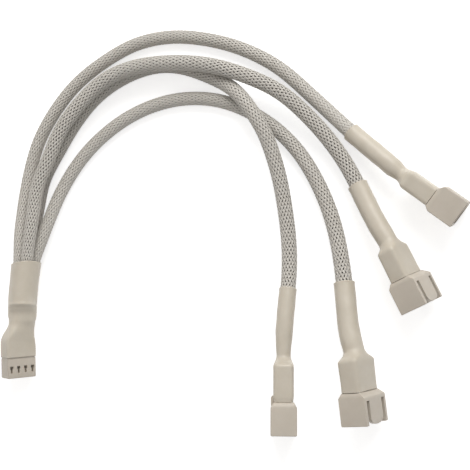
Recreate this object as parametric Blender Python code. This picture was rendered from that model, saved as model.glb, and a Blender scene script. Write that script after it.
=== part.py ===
"""Fan splitter cable: one four-way socket, four braided legs, four pin connectors.

The cable lies on a flat surface at z = 0. Lengths at the top are millimetres and
are turned into metres where they reach a mesh. A connector has its own frame:
X runs along it towards its mouth, Y across its wide face, Z towards its latch side.
"""
import math

import bmesh
import bpy
import numpy as np
from mathutils import Matrix

MM = 0.001

# The routes and places below are laid out on a grid. This point of the grid, on the
# surface that the cable lies on, becomes the origin.
ORIGIN = (-1.61, -14.94, 0.08)

# Contacts
PIN_PITCH = 2.54
WAYS = 4
PIN_WIDTH = 0.64
PIN_LENGTH = 5.5
PIN_TIP_WIDTH = 0.3
PIN_TIP_LENGTH = 0.5
CRIMP_WIDTH = 1.45
CRIMP_LENGTH = 4.0
BOX_WIDTH = 1.6
TERMINAL_DEPTH = 2.2
TERMINAL_MOUTH = 0.95
TERMINAL_MOUTH_DEPTH = 4.0
CAVITY_CLEARANCE = 0.3
HOLE_CLEARANCE = 0.3
END_GAP = 0.3

# Pin connector housing at the end of a leg
TAIL_WIDTH = 10.6
TAIL_DEPTH = 5.3
TAIL_LENGTH = 9.1
STEP_LENGTH = 1.7
SHOULDER_LENGTH = 0.1
SHROUD_LENGTH = 8.7
SHROUD_WIDTH = 13.7
SHROUD_DEPTH = 9.4
SHROUD_SHIFT = 0.5
SLIM_SHROUD_DEPTH = 8.3
SLIM_SHROUD_SHIFT = 0.1
SHROUD_WALL = 1.25
FLOOR_THICKNESS = 1.4
SLOT_WIDTH = 1.7
SLOT_LENGTH = 7.6
TONGUE_WIDTH = 7.7
TONGUE_TIP = 2.1
LATCH_WIDTH = 1.1
LATCH_LENGTH = 1.6
LATCH_FROM_REAR = 5.4
HOUSING_BEVEL = 0.25

# Socket housing at the fan header end
SOCKET_WIDTH = 10.2
SOCKET_DEPTH = 5.6
SOCKET_TAIL_WIDTH = 9.8
SOCKET_TAIL_DEPTH = 5.1
SOCKET_TAIL_LENGTH = 5.45
SOCKET_RAMP = 0.6
SOCKET_CAVITY = 1.75
SOCKET_LENGTH = 12.4
SOCKET_FRONT_WALL = 1.0
WINDOW_HEAD_WIDTH = 1.2
WINDOW_HEAD_LENGTH = 0.95
WINDOW_STEM_WIDTH = 0.7
WINDOW_STEM_LENGTH = 1.35
WINDOW_FROM_FRONT = 1.8
RIB_WIDTH = 1.1
RIB_HEIGHT = 0.9
RIB_SPREAD = 3.1
RIB_LENGTH = 6.2

# Wires, sleeves and heat-shrink tubing
WIRE_DIAMETER = 1.2
WIRE_SPREAD = 0.7
SLEEVE_WALL = 0.32
SHRINK_WALL = 0.45
FIT_GAP = 0.2
SHRINK_LENGTH = 34.4
SHRINK_LAP = 13.5
NECK_FROM = 6.8
NECK_LENGTH = 3.4
NECK_TAPER = 0.6
COLLAR_FLARE = 0.1
TRUNK_SLEEVE_RADIUS = 2.05
TRUNK_MOUTH_RADIUS = 2.15
LEG_START = 15.2
SPLICE_LENGTH = 4.4
SPLICE_WIDTH = 7.9
SPLICE_DEPTH = 8.2
SPLICE_TAPER = 0.82
SPLICE_GAP = 0.4
INPUT_WIRE_PITCH = 1.5
# where along a sleeve its radius is given, as shares of its length
SLEEVE_SHARES = (0.0, 0.075, 0.11, 0.24, 0.55, 0.9, 1.0)
# share of the spread into the row, and place along the connector
WIRE_FAN = ((0.0, -3.9), (0.08, -3.0), (0.28, -2.3), (0.66, -1.3), (1.0, -0.4), (1.0, 1.2))
INPUT_WIRE_FAN = ((0.14, -4.0), (0.66, -2.0), (1.0, -0.7), (1.0, 1.2))
WIRE_FAN_START = 5.0
# place along the connector, share of the spread onto its tail, and squareness of the tubing
SHOULDER = ((-2.6, 0.18, 2.1), (-1.6, 0.52, 2.6), (-1.0, 0.86, 4.0), (-0.55, 1.0, 10.0))
TAIL_SQUARENESS = 14.0
TAIL_GRIP_FROM = 1.2
TAIL_GRIP_SHORT = 0.2
TRUNK_LAP = 5.4
TRUNK_LAP_FROM = 0.8
TRUNK_SHORT = 0.7
TRUNK_WALL = 0.3
TRUNK_FIT = 0.1

# Mesh fineness
LEG_STATIONS = 30
SECTION_SIDES = 20
SLEEVE_SIDES = 12
PATH_STEP = 0.5
PATH_SMOOTHING = 3.5

# The socket end: centre of its rear face, heading, pitch and roll in degrees
SOCKET_PLACE = (-74.9, -34.85, 7.27)
SOCKET_TURN = (-90.0, -7.3, 49.0)

# The heat-shrunk trunk, from where the legs enter it towards the socket
TRUNK_ROUTE = (
    (-73.2, -7.87, 6.4), (-73.52, -11.17, 6.4), (-73.76, -15.69, 6.5), (-74.13, -20.88, 6.6),
    (-73.89, -26.05, 6.8), (-73.37, -28.98, 7.0), (-73.84, -31.2, 7.1), (-74.17, -32.91, 7.2),
)
# half width, half depth and squareness at places along the trunk, counted in millimetres
TRUNK_SECTIONS = (
    (0.0, 5.15, 6.5, 2.0), (0.5, 5.05, 6.4, 2.0), (6.0, 4.85, 6.3, 2.0), (12.0, 4.85, 6.3, 2.0),
    (15.5, 4.85, 6.2, 2.0), (18.6, 4.75, 5.3, 2.1), (20.6, 4.25, 3.9, 2.2), (22.8, 4.1, 3.4, 2.4),
    (25.2, 4.9, 3.05, 4.0), (27.4, 5.35, 3.0, 12.0),
)
TRUNK_TWIST = (24.0, 49.0)


class Leg:
    """One leg: its letter, its route, its sleeve radii, its wires and its connector's place."""

    def __init__(self, letter, route, radii, tube, swell, lead, extra, pins, place, turn):
        self.letter = letter
        self.route = route
        self.radii = radii
        self.bare, self.neck = tube
        self.swell = swell
        self.lead = lead
        self.extra = extra
        self.pins = pins
        self.place = place
        self.turn = turn


# Sleeve radii are after a quarter of the leg, just past its middle and at its end.
# Then come the tubing's radii past the sleeve's end and just behind the connector. Swell is
# how far it stands off at the rear of the housing's tail. Lead is how far its full size
# starts behind the housing, and extra adds to the tubing's length.
# Place is the centre of the housing's rear face.
LEGS = (
    Leg("a", (
        (-76.0, -22.6, 7.4), (-75.4, -7.7, 7.3), (-75.8, 0.2, 6.6), (-76.1, 9.7, 4.2),
        (-75.2, 21.4, 2.7), (-71.0, 37.5, 2.6), (-65.9, 46.6, 2.6), (-58.1, 56.3, 2.6),
        (-47.4, 64.2, 2.6), (-36.5, 69.7, 2.6), (-23.6, 71.6, 2.6), (-11.0, 69.9, 2.6),
        (2.2, 65.5, 2.6), (13.7, 58.9, 2.6), (27.7, 45.6, 2.7), (39.9, 32.9, 4.6),
        (51.3, 21.8, 7.6),
    ), (2.4, 2.5, 2.5), (3.1, 2.45), 0.0, 0.0, 0.9, (0, 1, 2, 3), (58.16, 15.45, 8.36), (-38.0, -1.84, 77.6)),
    Leg("b", (
        (-72.6, -22.9, 9.9), (-71.6, -8.2, 9.7), (-71.1, -0.5, 9.6), (-70.1, 8.6, 9.1),
        (-68.8, 19.6, 8.7), (-65.9, 26.3, 8.6), (-62.1, 36.5, 8.6), (-53.7, 48.1, 8.6),
        (-44.6, 56.0, 8.6), (-36.1, 59.0, 8.7), (-21.6, 59.9, 9.0), (-7.7, 58.0, 9.3),
        (5.4, 53.5, 8.2), (14.2, 49.2, 6.9), (27.1, 37.2, 5.6), (36.6, 24.3, 5.2),
        (44.1, 8.8, 6.9), (47.4, 1.5, 8.3),
    ), (2.55, 2.75, 2.65), (3.3, 3.2), 0.0, 0.0, 0.0, (0, 1, 3), (52.35, -7.51, 9.55), (-65.05, -4.16, 62.6)),
    Leg("c", (
        (-72.1, -22.5, 5.5), (-71.0, -7.6, 5.4), (-69.2, -2.0, 5.0), (-67.4, 3.7, 4.5),
        (-65.5, 9.4, 3.8), (-63.6, 15.2, 3.0), (-61.0, 20.5, 2.6), (-55.0, 29.5, 2.6),
        (-48.1, 36.5, 2.6), (-34.4, 45.1, 2.6), (-19.9, 48.7, 2.6), (-6.6, 47.6, 2.6),
        (6.1, 42.1, 2.6), (16.9, 33.5, 2.7), (22.4, 26.8, 2.7), (27.7, 17.4, 2.8),
        (31.2, 9.0, 2.9), (34.0, -1.0, 3.3), (35.47, -9.36, 4.5), (35.94, -12.7, 4.9),
        (36.59, -19.33, 6.0), (37.17, -25.9, 7.4), (37.96, -33.95, 8.8),
    ), (2.4, 2.5, 2.75), (3.5, 3.35), 0.45, 0.0, 0.6, (0, 1, 3), (40.0, -42.33, 9.73), (-84.5, -4.76, 64.0)),
    Leg("d", (
        (-75.6, -22.3, 3.2), (-74.5, -7.2, 3.1), (-73.3, 0.5, 2.7), (-71.3, 9.8, 2.6),
        (-69.0, 22.6, 2.7), (-64.7, 30.6, 2.7), (-58.0, 42.1, 2.7), (-50.2, 51.4, 2.7),
        (-38.4, 58.6, 2.7), (-30.8, 60.9, 2.7), (-23.5, 61.2, 2.7), (-17.0, 59.6, 2.8),
        (-10.8, 56.9, 3.2), (-5.2, 53.8, 4.4), (0.4, 49.6, 6.8), (6.2, 41.9, 8.3),
        (10.3, 35.1, 7.8), (13.1, 27.4, 6.4), (15.4, 18.6, 4.9), (17.0, 8.2, 3.7),
        (18.1, -2.0, 3.3), (18.3, -12.25, 3.9), (17.97, -18.26, 5.1), (17.49, -23.9, 6.1),
        (17.03, -29.47, 6.8), (16.61, -36.9, 7.3),
    ), (2.4, 2.65, 2.2), (2.5, 2.3), 0.0, 2.0, 2.3, (0, 1, 3), (16.6, -46.0, 7.46), (-90.5, 0.0, 98.0)),
)

SHROUD_END = TAIL_LENGTH + STEP_LENGTH + SHROUD_LENGTH
CAVITY_FLOOR = TAIL_LENGTH + STEP_LENGTH
REAR_CAVITY = BOX_WIDTH + CAVITY_CLEARANCE
PIN_ROW_END = CAVITY_FLOOR - FLOOR_THICKNESS
COVER = FIT_GAP + SHRINK_WALL


def clear_scene():
    """Remove every object that the open file holds."""
    for item in list(bpy.data.objects):
        bpy.data.objects.remove(item, do_unlink=True)


def finish(name, colour, roughness, metallic=0.0):
    """Make one Principled material."""
    material = bpy.data.materials.new(name)
    material.use_nodes = True
    shader = material.node_tree.nodes["Principled BSDF"]
    shader.inputs["Base Color"].default_value = (*colour, 1.0)
    shader.inputs["Roughness"].default_value = roughness
    shader.inputs["Metallic"].default_value = metallic
    return material


def link(name, data, material, parent):
    """Add an object to the scene with its material, carried by its parent."""
    item = bpy.data.objects.new(name, data)
    if not data.materials:
        data.materials.append(material)
    bpy.context.scene.collection.objects.link(item)
    item.parent = parent
    return item


def layout():
    """The empty that carries the whole cable and moves the layout's grid to the origin."""
    item = bpy.data.objects.new("cable", None)
    bpy.context.scene.collection.objects.link(item)
    item.location = tuple(-value * MM for value in ORIGIN)
    return item


def shade(mesh, angle):
    """Shade round faces smooth and keep edges sharper than the angle."""
    mesh.shade_smooth()
    mesh.set_sharp_from_angle(angle=math.radians(angle))


# Places and paths

def turn_axes(turn):
    """Axes of a connector from its heading, pitch and roll: along, across and latch side."""
    heading, pitch, roll = (math.radians(value) for value in turn)
    along = np.array([
        math.cos(heading) * math.cos(pitch), math.sin(heading) * math.cos(pitch), math.sin(pitch)])
    left = np.array([-math.sin(heading), math.cos(heading), 0.0])
    above = np.cross(along, left)
    latch = above * math.cos(roll) + left * math.sin(roll)
    across = left * math.cos(roll) - above * math.sin(roll)
    return along, across, latch


def place_matrix(place, turn):
    """World matrix of a connector."""
    along, across, latch = turn_axes(turn)
    matrix = Matrix.Identity(4)
    for row in range(3):
        matrix[row][0] = along[row]
        matrix[row][1] = across[row]
        matrix[row][2] = latch[row]
        matrix[row][3] = place[row] * MM
    return matrix


def holder(name, place, turn, cable):
    """An empty that carries one connector."""
    item = bpy.data.objects.new(name, None)
    bpy.context.scene.collection.objects.link(item)
    item.parent = cable
    item.matrix_local = place_matrix(place, turn)
    return item


def local_point(place, turn, along, across=0.0, latch=0.0):
    """A point of a connector's frame, in world millimetres."""
    axes = turn_axes(turn)
    return np.array(place) + axes[0] * along + axes[1] * across + axes[2] * latch


def smooth_path(route):
    """A dense smooth curve through a route: Hermite spans, then a light running mean."""
    points = np.array(route, dtype=float)
    chord = np.linalg.norm(np.diff(points, axis=0), axis=1)
    knots = np.concatenate(([0.0], np.cumsum(chord)))
    slopes = np.gradient(points, knots, axis=0)
    grid = np.arange(0.0, knots[-1], PATH_STEP)
    span = np.clip(np.searchsorted(knots, grid, side="right") - 1, 0, len(chord) - 1)
    width = chord[span][:, None]
    share = ((grid - knots[span])[:, None]) / width
    start, end = points[span], points[span + 1]
    first, last = slopes[span] * width, slopes[span + 1] * width
    curve = ((2 * share**3 - 3 * share**2 + 1) * start + (share**3 - 2 * share**2 + share) * first
             + (3 * share**2 - 2 * share**3) * end + (share**3 - share**2) * last)
    curve = np.vstack((curve, points[-1:]))
    reach = int(3 * PATH_SMOOTHING / PATH_STEP)
    offsets = np.arange(-reach, reach + 1) * PATH_STEP
    weights = np.exp(-0.5 * (offsets / PATH_SMOOTHING) ** 2)
    weights /= weights.sum()
    ahead = 2 * curve[0] - curve[reach:0:-1]
    behind = 2 * curve[-1] - curve[-2:-reach - 2:-1]
    padded = np.vstack((ahead, curve, behind))
    columns = [np.convolve(padded[:, axis], weights, mode="valid") for axis in range(3)]
    return np.stack(columns, axis=1)


def path_length(curve):
    """Length of a dense curve."""
    return float(np.linalg.norm(np.diff(curve, axis=0), axis=1).sum())


def points_at(curve, distances):
    """Points of a dense curve at given distances from its start."""
    travel = np.concatenate(([0.0], np.cumsum(np.linalg.norm(np.diff(curve, axis=0), axis=1))))
    return np.stack([np.interp(distances, travel, curve[:, axis]) for axis in range(3)], axis=1)


def directions(points):
    """Unit direction at each point of a polyline."""
    steps = np.gradient(points, axis=0)
    return steps / np.linalg.norm(steps, axis=1)[:, None]


def carried_axes(points, last_across):
    """Across and latch axes at each point, carried back from the last one without twist."""
    along = directions(points)
    across = np.zeros_like(along)
    current = np.array(last_across, dtype=float)
    for index in range(len(points) - 1, -1, -1):
        current = current - along[index] * np.dot(current, along[index])
        current = current / np.linalg.norm(current)
        across[index] = current
    return across, np.cross(along, across)


# Mesh helpers

def ring(half_width, half_depth, squareness, sides):
    """A superellipse: power 2 is an ellipse, and higher powers are squarer."""
    angle = np.arange(sides) * 2 * math.pi / sides
    power = 2.0 / squareness
    first = np.sign(np.cos(angle)) * np.abs(np.cos(angle)) ** power * half_width
    second = np.sign(np.sin(angle)) * np.abs(np.sin(angle)) ** power * half_depth
    return first, second


def skin(centres, across, latch, sections, sides, shrink):
    """Rings along a path, drawn in by a wall's thickness."""
    rings = []
    for centre, side, up, (half_width, half_depth, squareness) in zip(centres, across, latch, sections):
        first, second = ring(half_width - shrink, half_depth - shrink, squareness, sides)
        rings.append(centre + first[:, None] * side + second[:, None] * up)
    return np.array(rings)


def shell(name, centres, across, latch, sections, wall, sides, material, cable):
    """An open tube with a wall, whose section changes along its path."""
    outer = skin(centres, across, latch, sections, sides, 0.0)
    inner = skin(centres, across, latch, sections, sides, wall)
    stations = len(centres)
    points = np.concatenate((outer.reshape(-1, 3), inner.reshape(-1, 3))) * MM
    base = stations * sides
    faces = []
    for station in range(stations - 1):
        for side in range(sides):
            here = station * sides + side
            beside = station * sides + (side + 1) % sides
            faces.append((here, beside, beside + sides, here + sides))
            faces.append((base + here, base + here + sides, base + beside + sides, base + beside))
    last = (stations - 1) * sides
    for side in range(sides):
        beside = (side + 1) % sides
        faces.append((side, base + side, base + beside, beside))
        faces.append((last + side, last + beside, base + last + beside, base + last + side))
    mesh = bpy.data.meshes.new(name)
    mesh.from_pydata([tuple(point) for point in points], [], faces)
    mesh.validate()
    shade(mesh, 40)
    return link(name, mesh, material, cable)


def wire(name, points, diameter, material, cable):
    """A round wire: a curve with a bevel and filled ends."""
    data = bpy.data.curves.new(name, "CURVE")
    data.dimensions = "3D"
    data.bevel_depth = diameter / 2 * MM
    data.bevel_resolution = 2
    data.use_fill_caps = True
    data.twist_mode = "MINIMUM"
    spline = data.splines.new("POLY")
    spline.points.add(len(points) - 1)
    for target, point in zip(spline.points, points):
        target.co = (point[0] * MM, point[1] * MM, point[2] * MM, 1.0)
    return link(name, data, material, cable)


def add_prism(model, sections):
    """Rectangles along X joined into one block: (x, y low, y high, z low, z high)."""
    rows = []
    for along, low, high, bottom, top in sections:
        corners = ((low, bottom), (high, bottom), (high, top), (low, top))
        rows.append([model.verts.new((along * MM, y * MM, z * MM)) for y, z in corners])
    for row, following in zip(rows, rows[1:]):
        for corner in range(4):
            beside = (corner + 1) % 4
            model.faces.new((row[corner], row[beside], following[beside], following[corner]))
    model.faces.new(tuple(reversed(rows[0])))
    model.faces.new(tuple(rows[-1]))


def add_box(model, along, across, latch):
    """A box between two values on each axis."""
    add_prism(model, (
        (along[0], across[0], across[1], latch[0], latch[1]),
        (along[1], across[0], across[1], latch[0], latch[1])))


def add_plate(model, outline, bottom, top):
    """A flat outline in X and Y, carried from one height to another."""
    low = [model.verts.new((x * MM, y * MM, bottom * MM)) for x, y in outline]
    high = [model.verts.new((x * MM, y * MM, top * MM)) for x, y in outline]
    count = len(outline)
    for index in range(count):
        beside = (index + 1) % count
        model.faces.new((low[index], low[beside], high[beside], high[index]))
    model.faces.new(tuple(reversed(low)))
    model.faces.new(tuple(high))


def block_mesh(name, build):
    """A mesh from a function that fills a bmesh, with its faces turned outwards."""
    model = bmesh.new()
    build(model)
    bmesh.ops.recalc_face_normals(model, faces=model.faces)
    mesh = bpy.data.meshes.new(name)
    model.to_mesh(mesh)
    model.free()
    return mesh


def cutter(name, build):
    """A hidden object that another one is cut or joined by."""
    item = bpy.data.objects.new(name, block_mesh(name, build))
    bpy.context.scene.collection.objects.link(item)
    item.hide_render = True
    item.display_type = "WIRE"
    return item


def settled_mesh(name, build, bevel, steps):
    """A block with bevelled edges after its Boolean steps, as one mesh."""
    item = bpy.data.objects.new(name, block_mesh(name, build))
    bpy.context.scene.collection.objects.link(item)
    if bevel > 0:
        rounding = item.modifiers.new("edges", "BEVEL")
        rounding.width = bevel * MM
        rounding.segments = 1
        rounding.limit_method = "ANGLE"
        rounding.angle_limit = math.radians(35)
    helpers = []
    for label, operation, filler in steps:
        helper = cutter(name + "_" + label, filler)
        helpers.append(helper)
        step = item.modifiers.new(label, "BOOLEAN")
        step.operation = operation
        step.object = helper
        step.solver = "EXACT"
    bpy.context.view_layer.update()
    graph = bpy.context.evaluated_depsgraph_get()
    mesh = bpy.data.meshes.new_from_object(item.evaluated_get(graph))
    mesh.name = name
    bpy.data.objects.remove(item, do_unlink=True)
    for helper in helpers:
        bpy.data.objects.remove(helper, do_unlink=True)
    shade(mesh, 30)
    return mesh


def pin_offset(way):
    """Place of a contact across the row."""
    return (way - (WAYS - 1) / 2) * PIN_PITCH


# Connector pieces

def pin_housing_mesh(name, depth, shift):
    """The white housing of a leg's connector: tail, step and open shroud with a tongue."""
    half_tail = TAIL_WIDTH / 2
    half_shroud = SHROUD_WIDTH / 2
    half_collar = half_tail + COVER
    collar_depth = TAIL_DEPTH / 2 + COVER
    low = shift - depth / 2
    high = shift + depth / 2
    inner = half_shroud - SHROUD_WALL
    half_pocket = REAR_CAVITY / 2
    half_hole = (PIN_WIDTH + HOLE_CLEARANCE) / 2
    past = 0.5

    def body(model):
        add_prism(model, (
            (0.0, -half_tail, half_tail, -TAIL_DEPTH / 2, TAIL_DEPTH / 2),
            (TAIL_LENGTH, -half_tail, half_tail, -TAIL_DEPTH / 2, TAIL_DEPTH / 2),
            (TAIL_LENGTH + SHOULDER_LENGTH, -half_collar, half_collar, -collar_depth, collar_depth),
            (CAVITY_FLOOR, -half_shroud, half_shroud, low, high),
            (SHROUD_END, -half_shroud, half_shroud, low, high)))

    def pockets(model):
        add_box(model, (CAVITY_FLOOR, SHROUD_END + past), (-inner, inner),
                (low + SHROUD_WALL, high - SHROUD_WALL))
        for way in range(WAYS):
            middle = pin_offset(way)
            add_box(model, (-past, PIN_ROW_END), (middle - half_pocket, middle + half_pocket),
                    (-half_pocket, half_pocket))

    def holes(model):
        for way in range(WAYS):
            middle = pin_offset(way)
            add_box(model, (PIN_ROW_END - past, CAVITY_FLOOR + past),
                    (middle - half_hole, middle + half_hole), (-half_hole, half_hole))

    def slots(model):
        half_tongue = TONGUE_WIDTH / 2
        for side in (-1, 1):
            edges = sorted((side * half_tongue, side * (half_tongue + SLOT_WIDTH)))
            add_box(model, (SHROUD_END - SLOT_LENGTH, SHROUD_END + past), edges,
                    (high - SHROUD_WALL - past, high + past))
        for way in range(WAYS):
            middle = pin_offset(way)
            add_box(model, (LATCH_FROM_REAR, LATCH_FROM_REAR + LATCH_LENGTH),
                    (middle - LATCH_WIDTH / 2, middle + LATCH_WIDTH / 2),
                    (-TAIL_DEPTH / 2 - past, -half_pocket + past))

    def tip(model):
        half_tongue = TONGUE_WIDTH / 2
        reach = half_tongue + SLOT_WIDTH / 2
        angles = np.linspace(-math.pi / 2, math.pi / 2, 13)
        arc = [(SHROUD_END - TONGUE_TIP * (1 - math.cos(angle)), half_tongue * math.sin(angle))
               for angle in angles]
        outline = [(SHROUD_END + past, -reach), (SHROUD_END - TONGUE_TIP, -reach)]
        outline += arc[:6] + [(SHROUD_END + 0.001, 0.0)] + arc[7:]
        outline += [(SHROUD_END - TONGUE_TIP, reach), (SHROUD_END + past, reach)]
        add_plate(model, list(reversed(outline)), high - SHROUD_WALL - past / 2, high + past)

    return settled_mesh(name, body, HOUSING_BEVEL, (
        ("pockets", "DIFFERENCE", pockets), ("holes", "DIFFERENCE", holes),
        ("slots", "DIFFERENCE", slots), ("tip", "DIFFERENCE", tip)))


def socket_housing_mesh():
    """The housing that plugs onto a fan header, with T-shaped windows and two guide ribs."""
    half_width = SOCKET_WIDTH / 2
    half_depth = SOCKET_DEPTH / 2
    half_tail = SOCKET_TAIL_WIDTH / 2
    half_tail_depth = SOCKET_TAIL_DEPTH / 2
    half_pocket = SOCKET_CAVITY / 2
    half_terminal = (TERMINAL_DEPTH + CAVITY_CLEARANCE) / 2
    half_mouth = (PIN_WIDTH + 2 * HOLE_CLEARANCE) / 2
    past = 0.5
    window_end = SOCKET_LENGTH - WINDOW_FROM_FRONT
    window_step = window_end - WINDOW_STEM_LENGTH

    def body(model):
        add_prism(model, (
            (0.0, -half_tail, half_tail, -half_tail_depth, half_tail_depth),
            (SOCKET_TAIL_LENGTH, -half_tail, half_tail, -half_tail_depth, half_tail_depth),
            (SOCKET_TAIL_LENGTH + SOCKET_RAMP, -half_width, half_width, -half_depth, half_depth),
            (SOCKET_LENGTH, -half_width, half_width, -half_depth, half_depth)))

    def ribs(model):
        for side in (-1, 1):
            edges = sorted((side * RIB_SPREAD, side * (RIB_SPREAD + RIB_WIDTH)))
            add_box(model, (SOCKET_LENGTH - RIB_LENGTH, SOCKET_LENGTH - past / 2), edges,
                    (-half_depth - RIB_HEIGHT, -half_depth + past))

    def pockets(model):
        for way in range(WAYS):
            middle = pin_offset(way)
            add_box(model, (-past, SOCKET_LENGTH - SOCKET_FRONT_WALL),
                    (middle - half_pocket, middle + half_pocket), (-half_terminal, half_terminal))

    def mouths(model):
        for way in range(WAYS):
            middle = pin_offset(way)
            add_box(model, (SOCKET_LENGTH - SOCKET_FRONT_WALL - past, SOCKET_LENGTH + past),
                    (middle - half_mouth, middle + half_mouth), (-half_mouth, half_mouth))

    def windows(model):
        for way in range(WAYS):
            middle = pin_offset(way)
            half_head = WINDOW_HEAD_WIDTH / 2
            half_stem = WINDOW_STEM_WIDTH / 2
            outline = (
                (window_step - WINDOW_HEAD_LENGTH, middle - half_head),
                (window_step, middle - half_head), (window_step, middle - half_stem),
                (window_end, middle - half_stem), (window_end, middle + half_stem),
                (window_step, middle + half_stem), (window_step, middle + half_head),
                (window_step - WINDOW_HEAD_LENGTH, middle + half_head))
            add_plate(model, outline, half_terminal - past, half_depth + past)

    return settled_mesh("socket_housing", body, HOUSING_BEVEL, (
        ("ribs", "UNION", ribs), ("pockets", "DIFFERENCE", pockets),
        ("mouths", "DIFFERENCE", mouths), ("windows", "DIFFERENCE", windows)))


def pin_mesh():
    """A header pin with its crimp, in the frame of its housing at the row's middle."""
    start = WIRE_DIAMETER + END_GAP
    box_start = start + CRIMP_LENGTH
    box_end = PIN_ROW_END - FIT_GAP
    blade_end = CAVITY_FLOOR + PIN_LENGTH
    crimp = CRIMP_WIDTH / 2
    box = BOX_WIDTH / 2
    blade = PIN_WIDTH / 2
    tip = PIN_TIP_WIDTH / 2

    def body(model):
        add_prism(model, (
            (start, -crimp, crimp, -crimp, crimp),
            (box_start - END_GAP, -crimp, crimp, -crimp, crimp),
            (box_start, -box, box, -box, box),
            (box_end - END_GAP, -box, box, -box, box),
            (box_end, -blade, blade, -blade, blade),
            (blade_end - PIN_TIP_LENGTH, -blade, blade, -blade, blade),
            (blade_end, -tip, tip, -tip, tip)))

    return settled_mesh("header_pin", body, 0.0, ())


def terminal_mesh():
    """A socket contact: a box with a mouth for the pin, and its crimp behind it."""
    start = WIRE_DIAMETER + END_GAP
    box_start = start + CRIMP_LENGTH
    box_end = SOCKET_LENGTH - SOCKET_FRONT_WALL - FIT_GAP
    crimp = CRIMP_WIDTH / 2
    box = BOX_WIDTH / 2
    depth = TERMINAL_DEPTH / 2
    mouth = TERMINAL_MOUTH / 2

    def body(model):
        add_prism(model, (
            (start, -crimp, crimp, -crimp, crimp),
            (box_start - END_GAP, -crimp, crimp, -crimp, crimp),
            (box_start, -box, box, -depth, depth),
            (box_end, -box, box, -depth, depth)))

    def bore(model):
        add_box(model, (box_end - TERMINAL_MOUTH_DEPTH, box_end + END_GAP),
                (-mouth, mouth), (-mouth, mouth))

    return settled_mesh("socket_contact", body, 0.0, (("bore", "DIFFERENCE", bore),))


# Legs

def leg_curve(leg):
    """Dense centre line of a leg, up to the rear face of its housing."""
    behind = [local_point(leg.place, leg.turn, -distance) for distance in (2.5, 0.0)]
    return smooth_path(list(leg.route) + [tuple(point) for point in behind])


def sleeve_radius(leg, shares):
    """Radius of the sleeve along the leg: narrow in the trunk, then as the leg's own radii say."""
    early, middle, late = leg.radii
    values = (TRUNK_SLEEVE_RADIUS, TRUNK_SLEEVE_RADIUS, TRUNK_MOUTH_RADIUS, early, middle, late, late)
    return np.interp(shares, SLEEVE_SHARES, values)


def build_sleeve(leg, curve, material, cable):
    """The braided sleeve as a hollow tube, from inside the trunk to inside its tubing."""
    total = path_length(curve)
    end = total - (SHRINK_LENGTH - TAIL_LENGTH) - leg.extra + SHRINK_LAP
    distances = np.linspace(0.0, end, LEG_STATIONS)
    centres = points_at(curve, distances)
    across, latch = carried_axes(centres, turn_axes(leg.turn)[1])
    radii = sleeve_radius(leg, distances / end)
    sections = [(radius, radius, 2.0) for radius in radii]
    return shell("leg_" + leg.letter + "_sleeve", centres, across, latch, sections,
                 SLEEVE_WALL, SLEEVE_SIDES, material, cable)


def bundle_places(count):
    """Places of the wires round the middle of a leg, matched to their order in the row."""
    spread = WIRE_SPREAD
    if count == 4:
        return ((-spread, -spread), (-spread, spread), (spread, spread), (spread, -spread))
    return ((-spread * 1.1, -spread * 0.65), (0.0, spread * 1.25), (spread * 1.1, -spread * 0.65))


def build_wires(leg, curve, material, cable):
    """The leg's wires: a bundle along the sleeve that spreads into the row of pins."""
    total = path_length(curve)
    distances = np.linspace(SPLICE_GAP, total - WIRE_FAN_START, LEG_STATIONS)
    centres = points_at(curve, distances)
    across, latch = carried_axes(centres, turn_axes(leg.turn)[1])
    for way, bundle in zip(leg.pins, bundle_places(len(leg.pins))):
        points = list(centres + across * bundle[0] + latch * bundle[1])
        for share, along in WIRE_FAN:
            side = bundle[0] * (1 - share) + pin_offset(way) * share
            height = bundle[1] * (1 - share)
            points.append(local_point(leg.place, leg.turn, along, side, height))
        wire("leg_" + leg.letter + "_wire_" + str(way + 1), points, WIRE_DIAMETER, material, cable)


def build_leg_shrink(leg, curve, material, cable):
    """Tubing from over the sleeve's end, over the wires and onto the housing's tail."""
    total = path_length(curve)
    start = total - (SHRINK_LENGTH - TAIL_LENGTH) - leg.extra
    radius = leg.radii[2] + COVER
    shoulder = leg.lead
    sleeve_end = start + SHRINK_LAP + END_GAP
    neck_from = total - NECK_FROM - shoulder
    neck_at = total - NECK_LENGTH - shoulder
    half_width = TAIL_WIDTH / 2 + COVER
    half_depth = TAIL_DEPTH / 2 + COVER
    on_leg = (
        (start, radius + COLLAR_FLARE, radius + COLLAR_FLARE, 2.0),
        (start + NECK_TAPER, radius, radius, 2.0),
        (start + SHRINK_LAP / 2, radius, radius, 2.0), (sleeve_end, radius, radius, 2.0),
        (neck_from, leg.bare, leg.bare, 2.0), (neck_at, leg.neck, leg.neck, 2.0))
    distances = np.array([row[0] for row in on_leg])
    centres = list(points_at(curve, distances))
    sections = [row[1:] for row in on_leg]
    grip = ((TAIL_GRIP_FROM, 1.0, TAIL_SQUARENESS), (TAIL_LENGTH - TAIL_GRIP_SHORT, 1.0, TAIL_SQUARENESS))
    for along, part, power in SHOULDER + grip:
        back = shoulder if along < 0.0 else 0.0
        centres.append(local_point(leg.place, leg.turn, along - back))
        loose = leg.swell * part if along < TAIL_LENGTH / 2 else leg.swell / 2
        width = leg.neck + (half_width - leg.neck) * part + loose
        depth = leg.neck + (half_depth - leg.neck) * part + loose
        sections.append((width, depth, power))
    centres = np.array(centres)
    across, latch = carried_axes(centres, turn_axes(leg.turn)[1])
    return shell("leg_" + leg.letter + "_shrink", centres, across, latch, sections,
                 SHRINK_WALL, SECTION_SIDES, material, cable)


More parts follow.
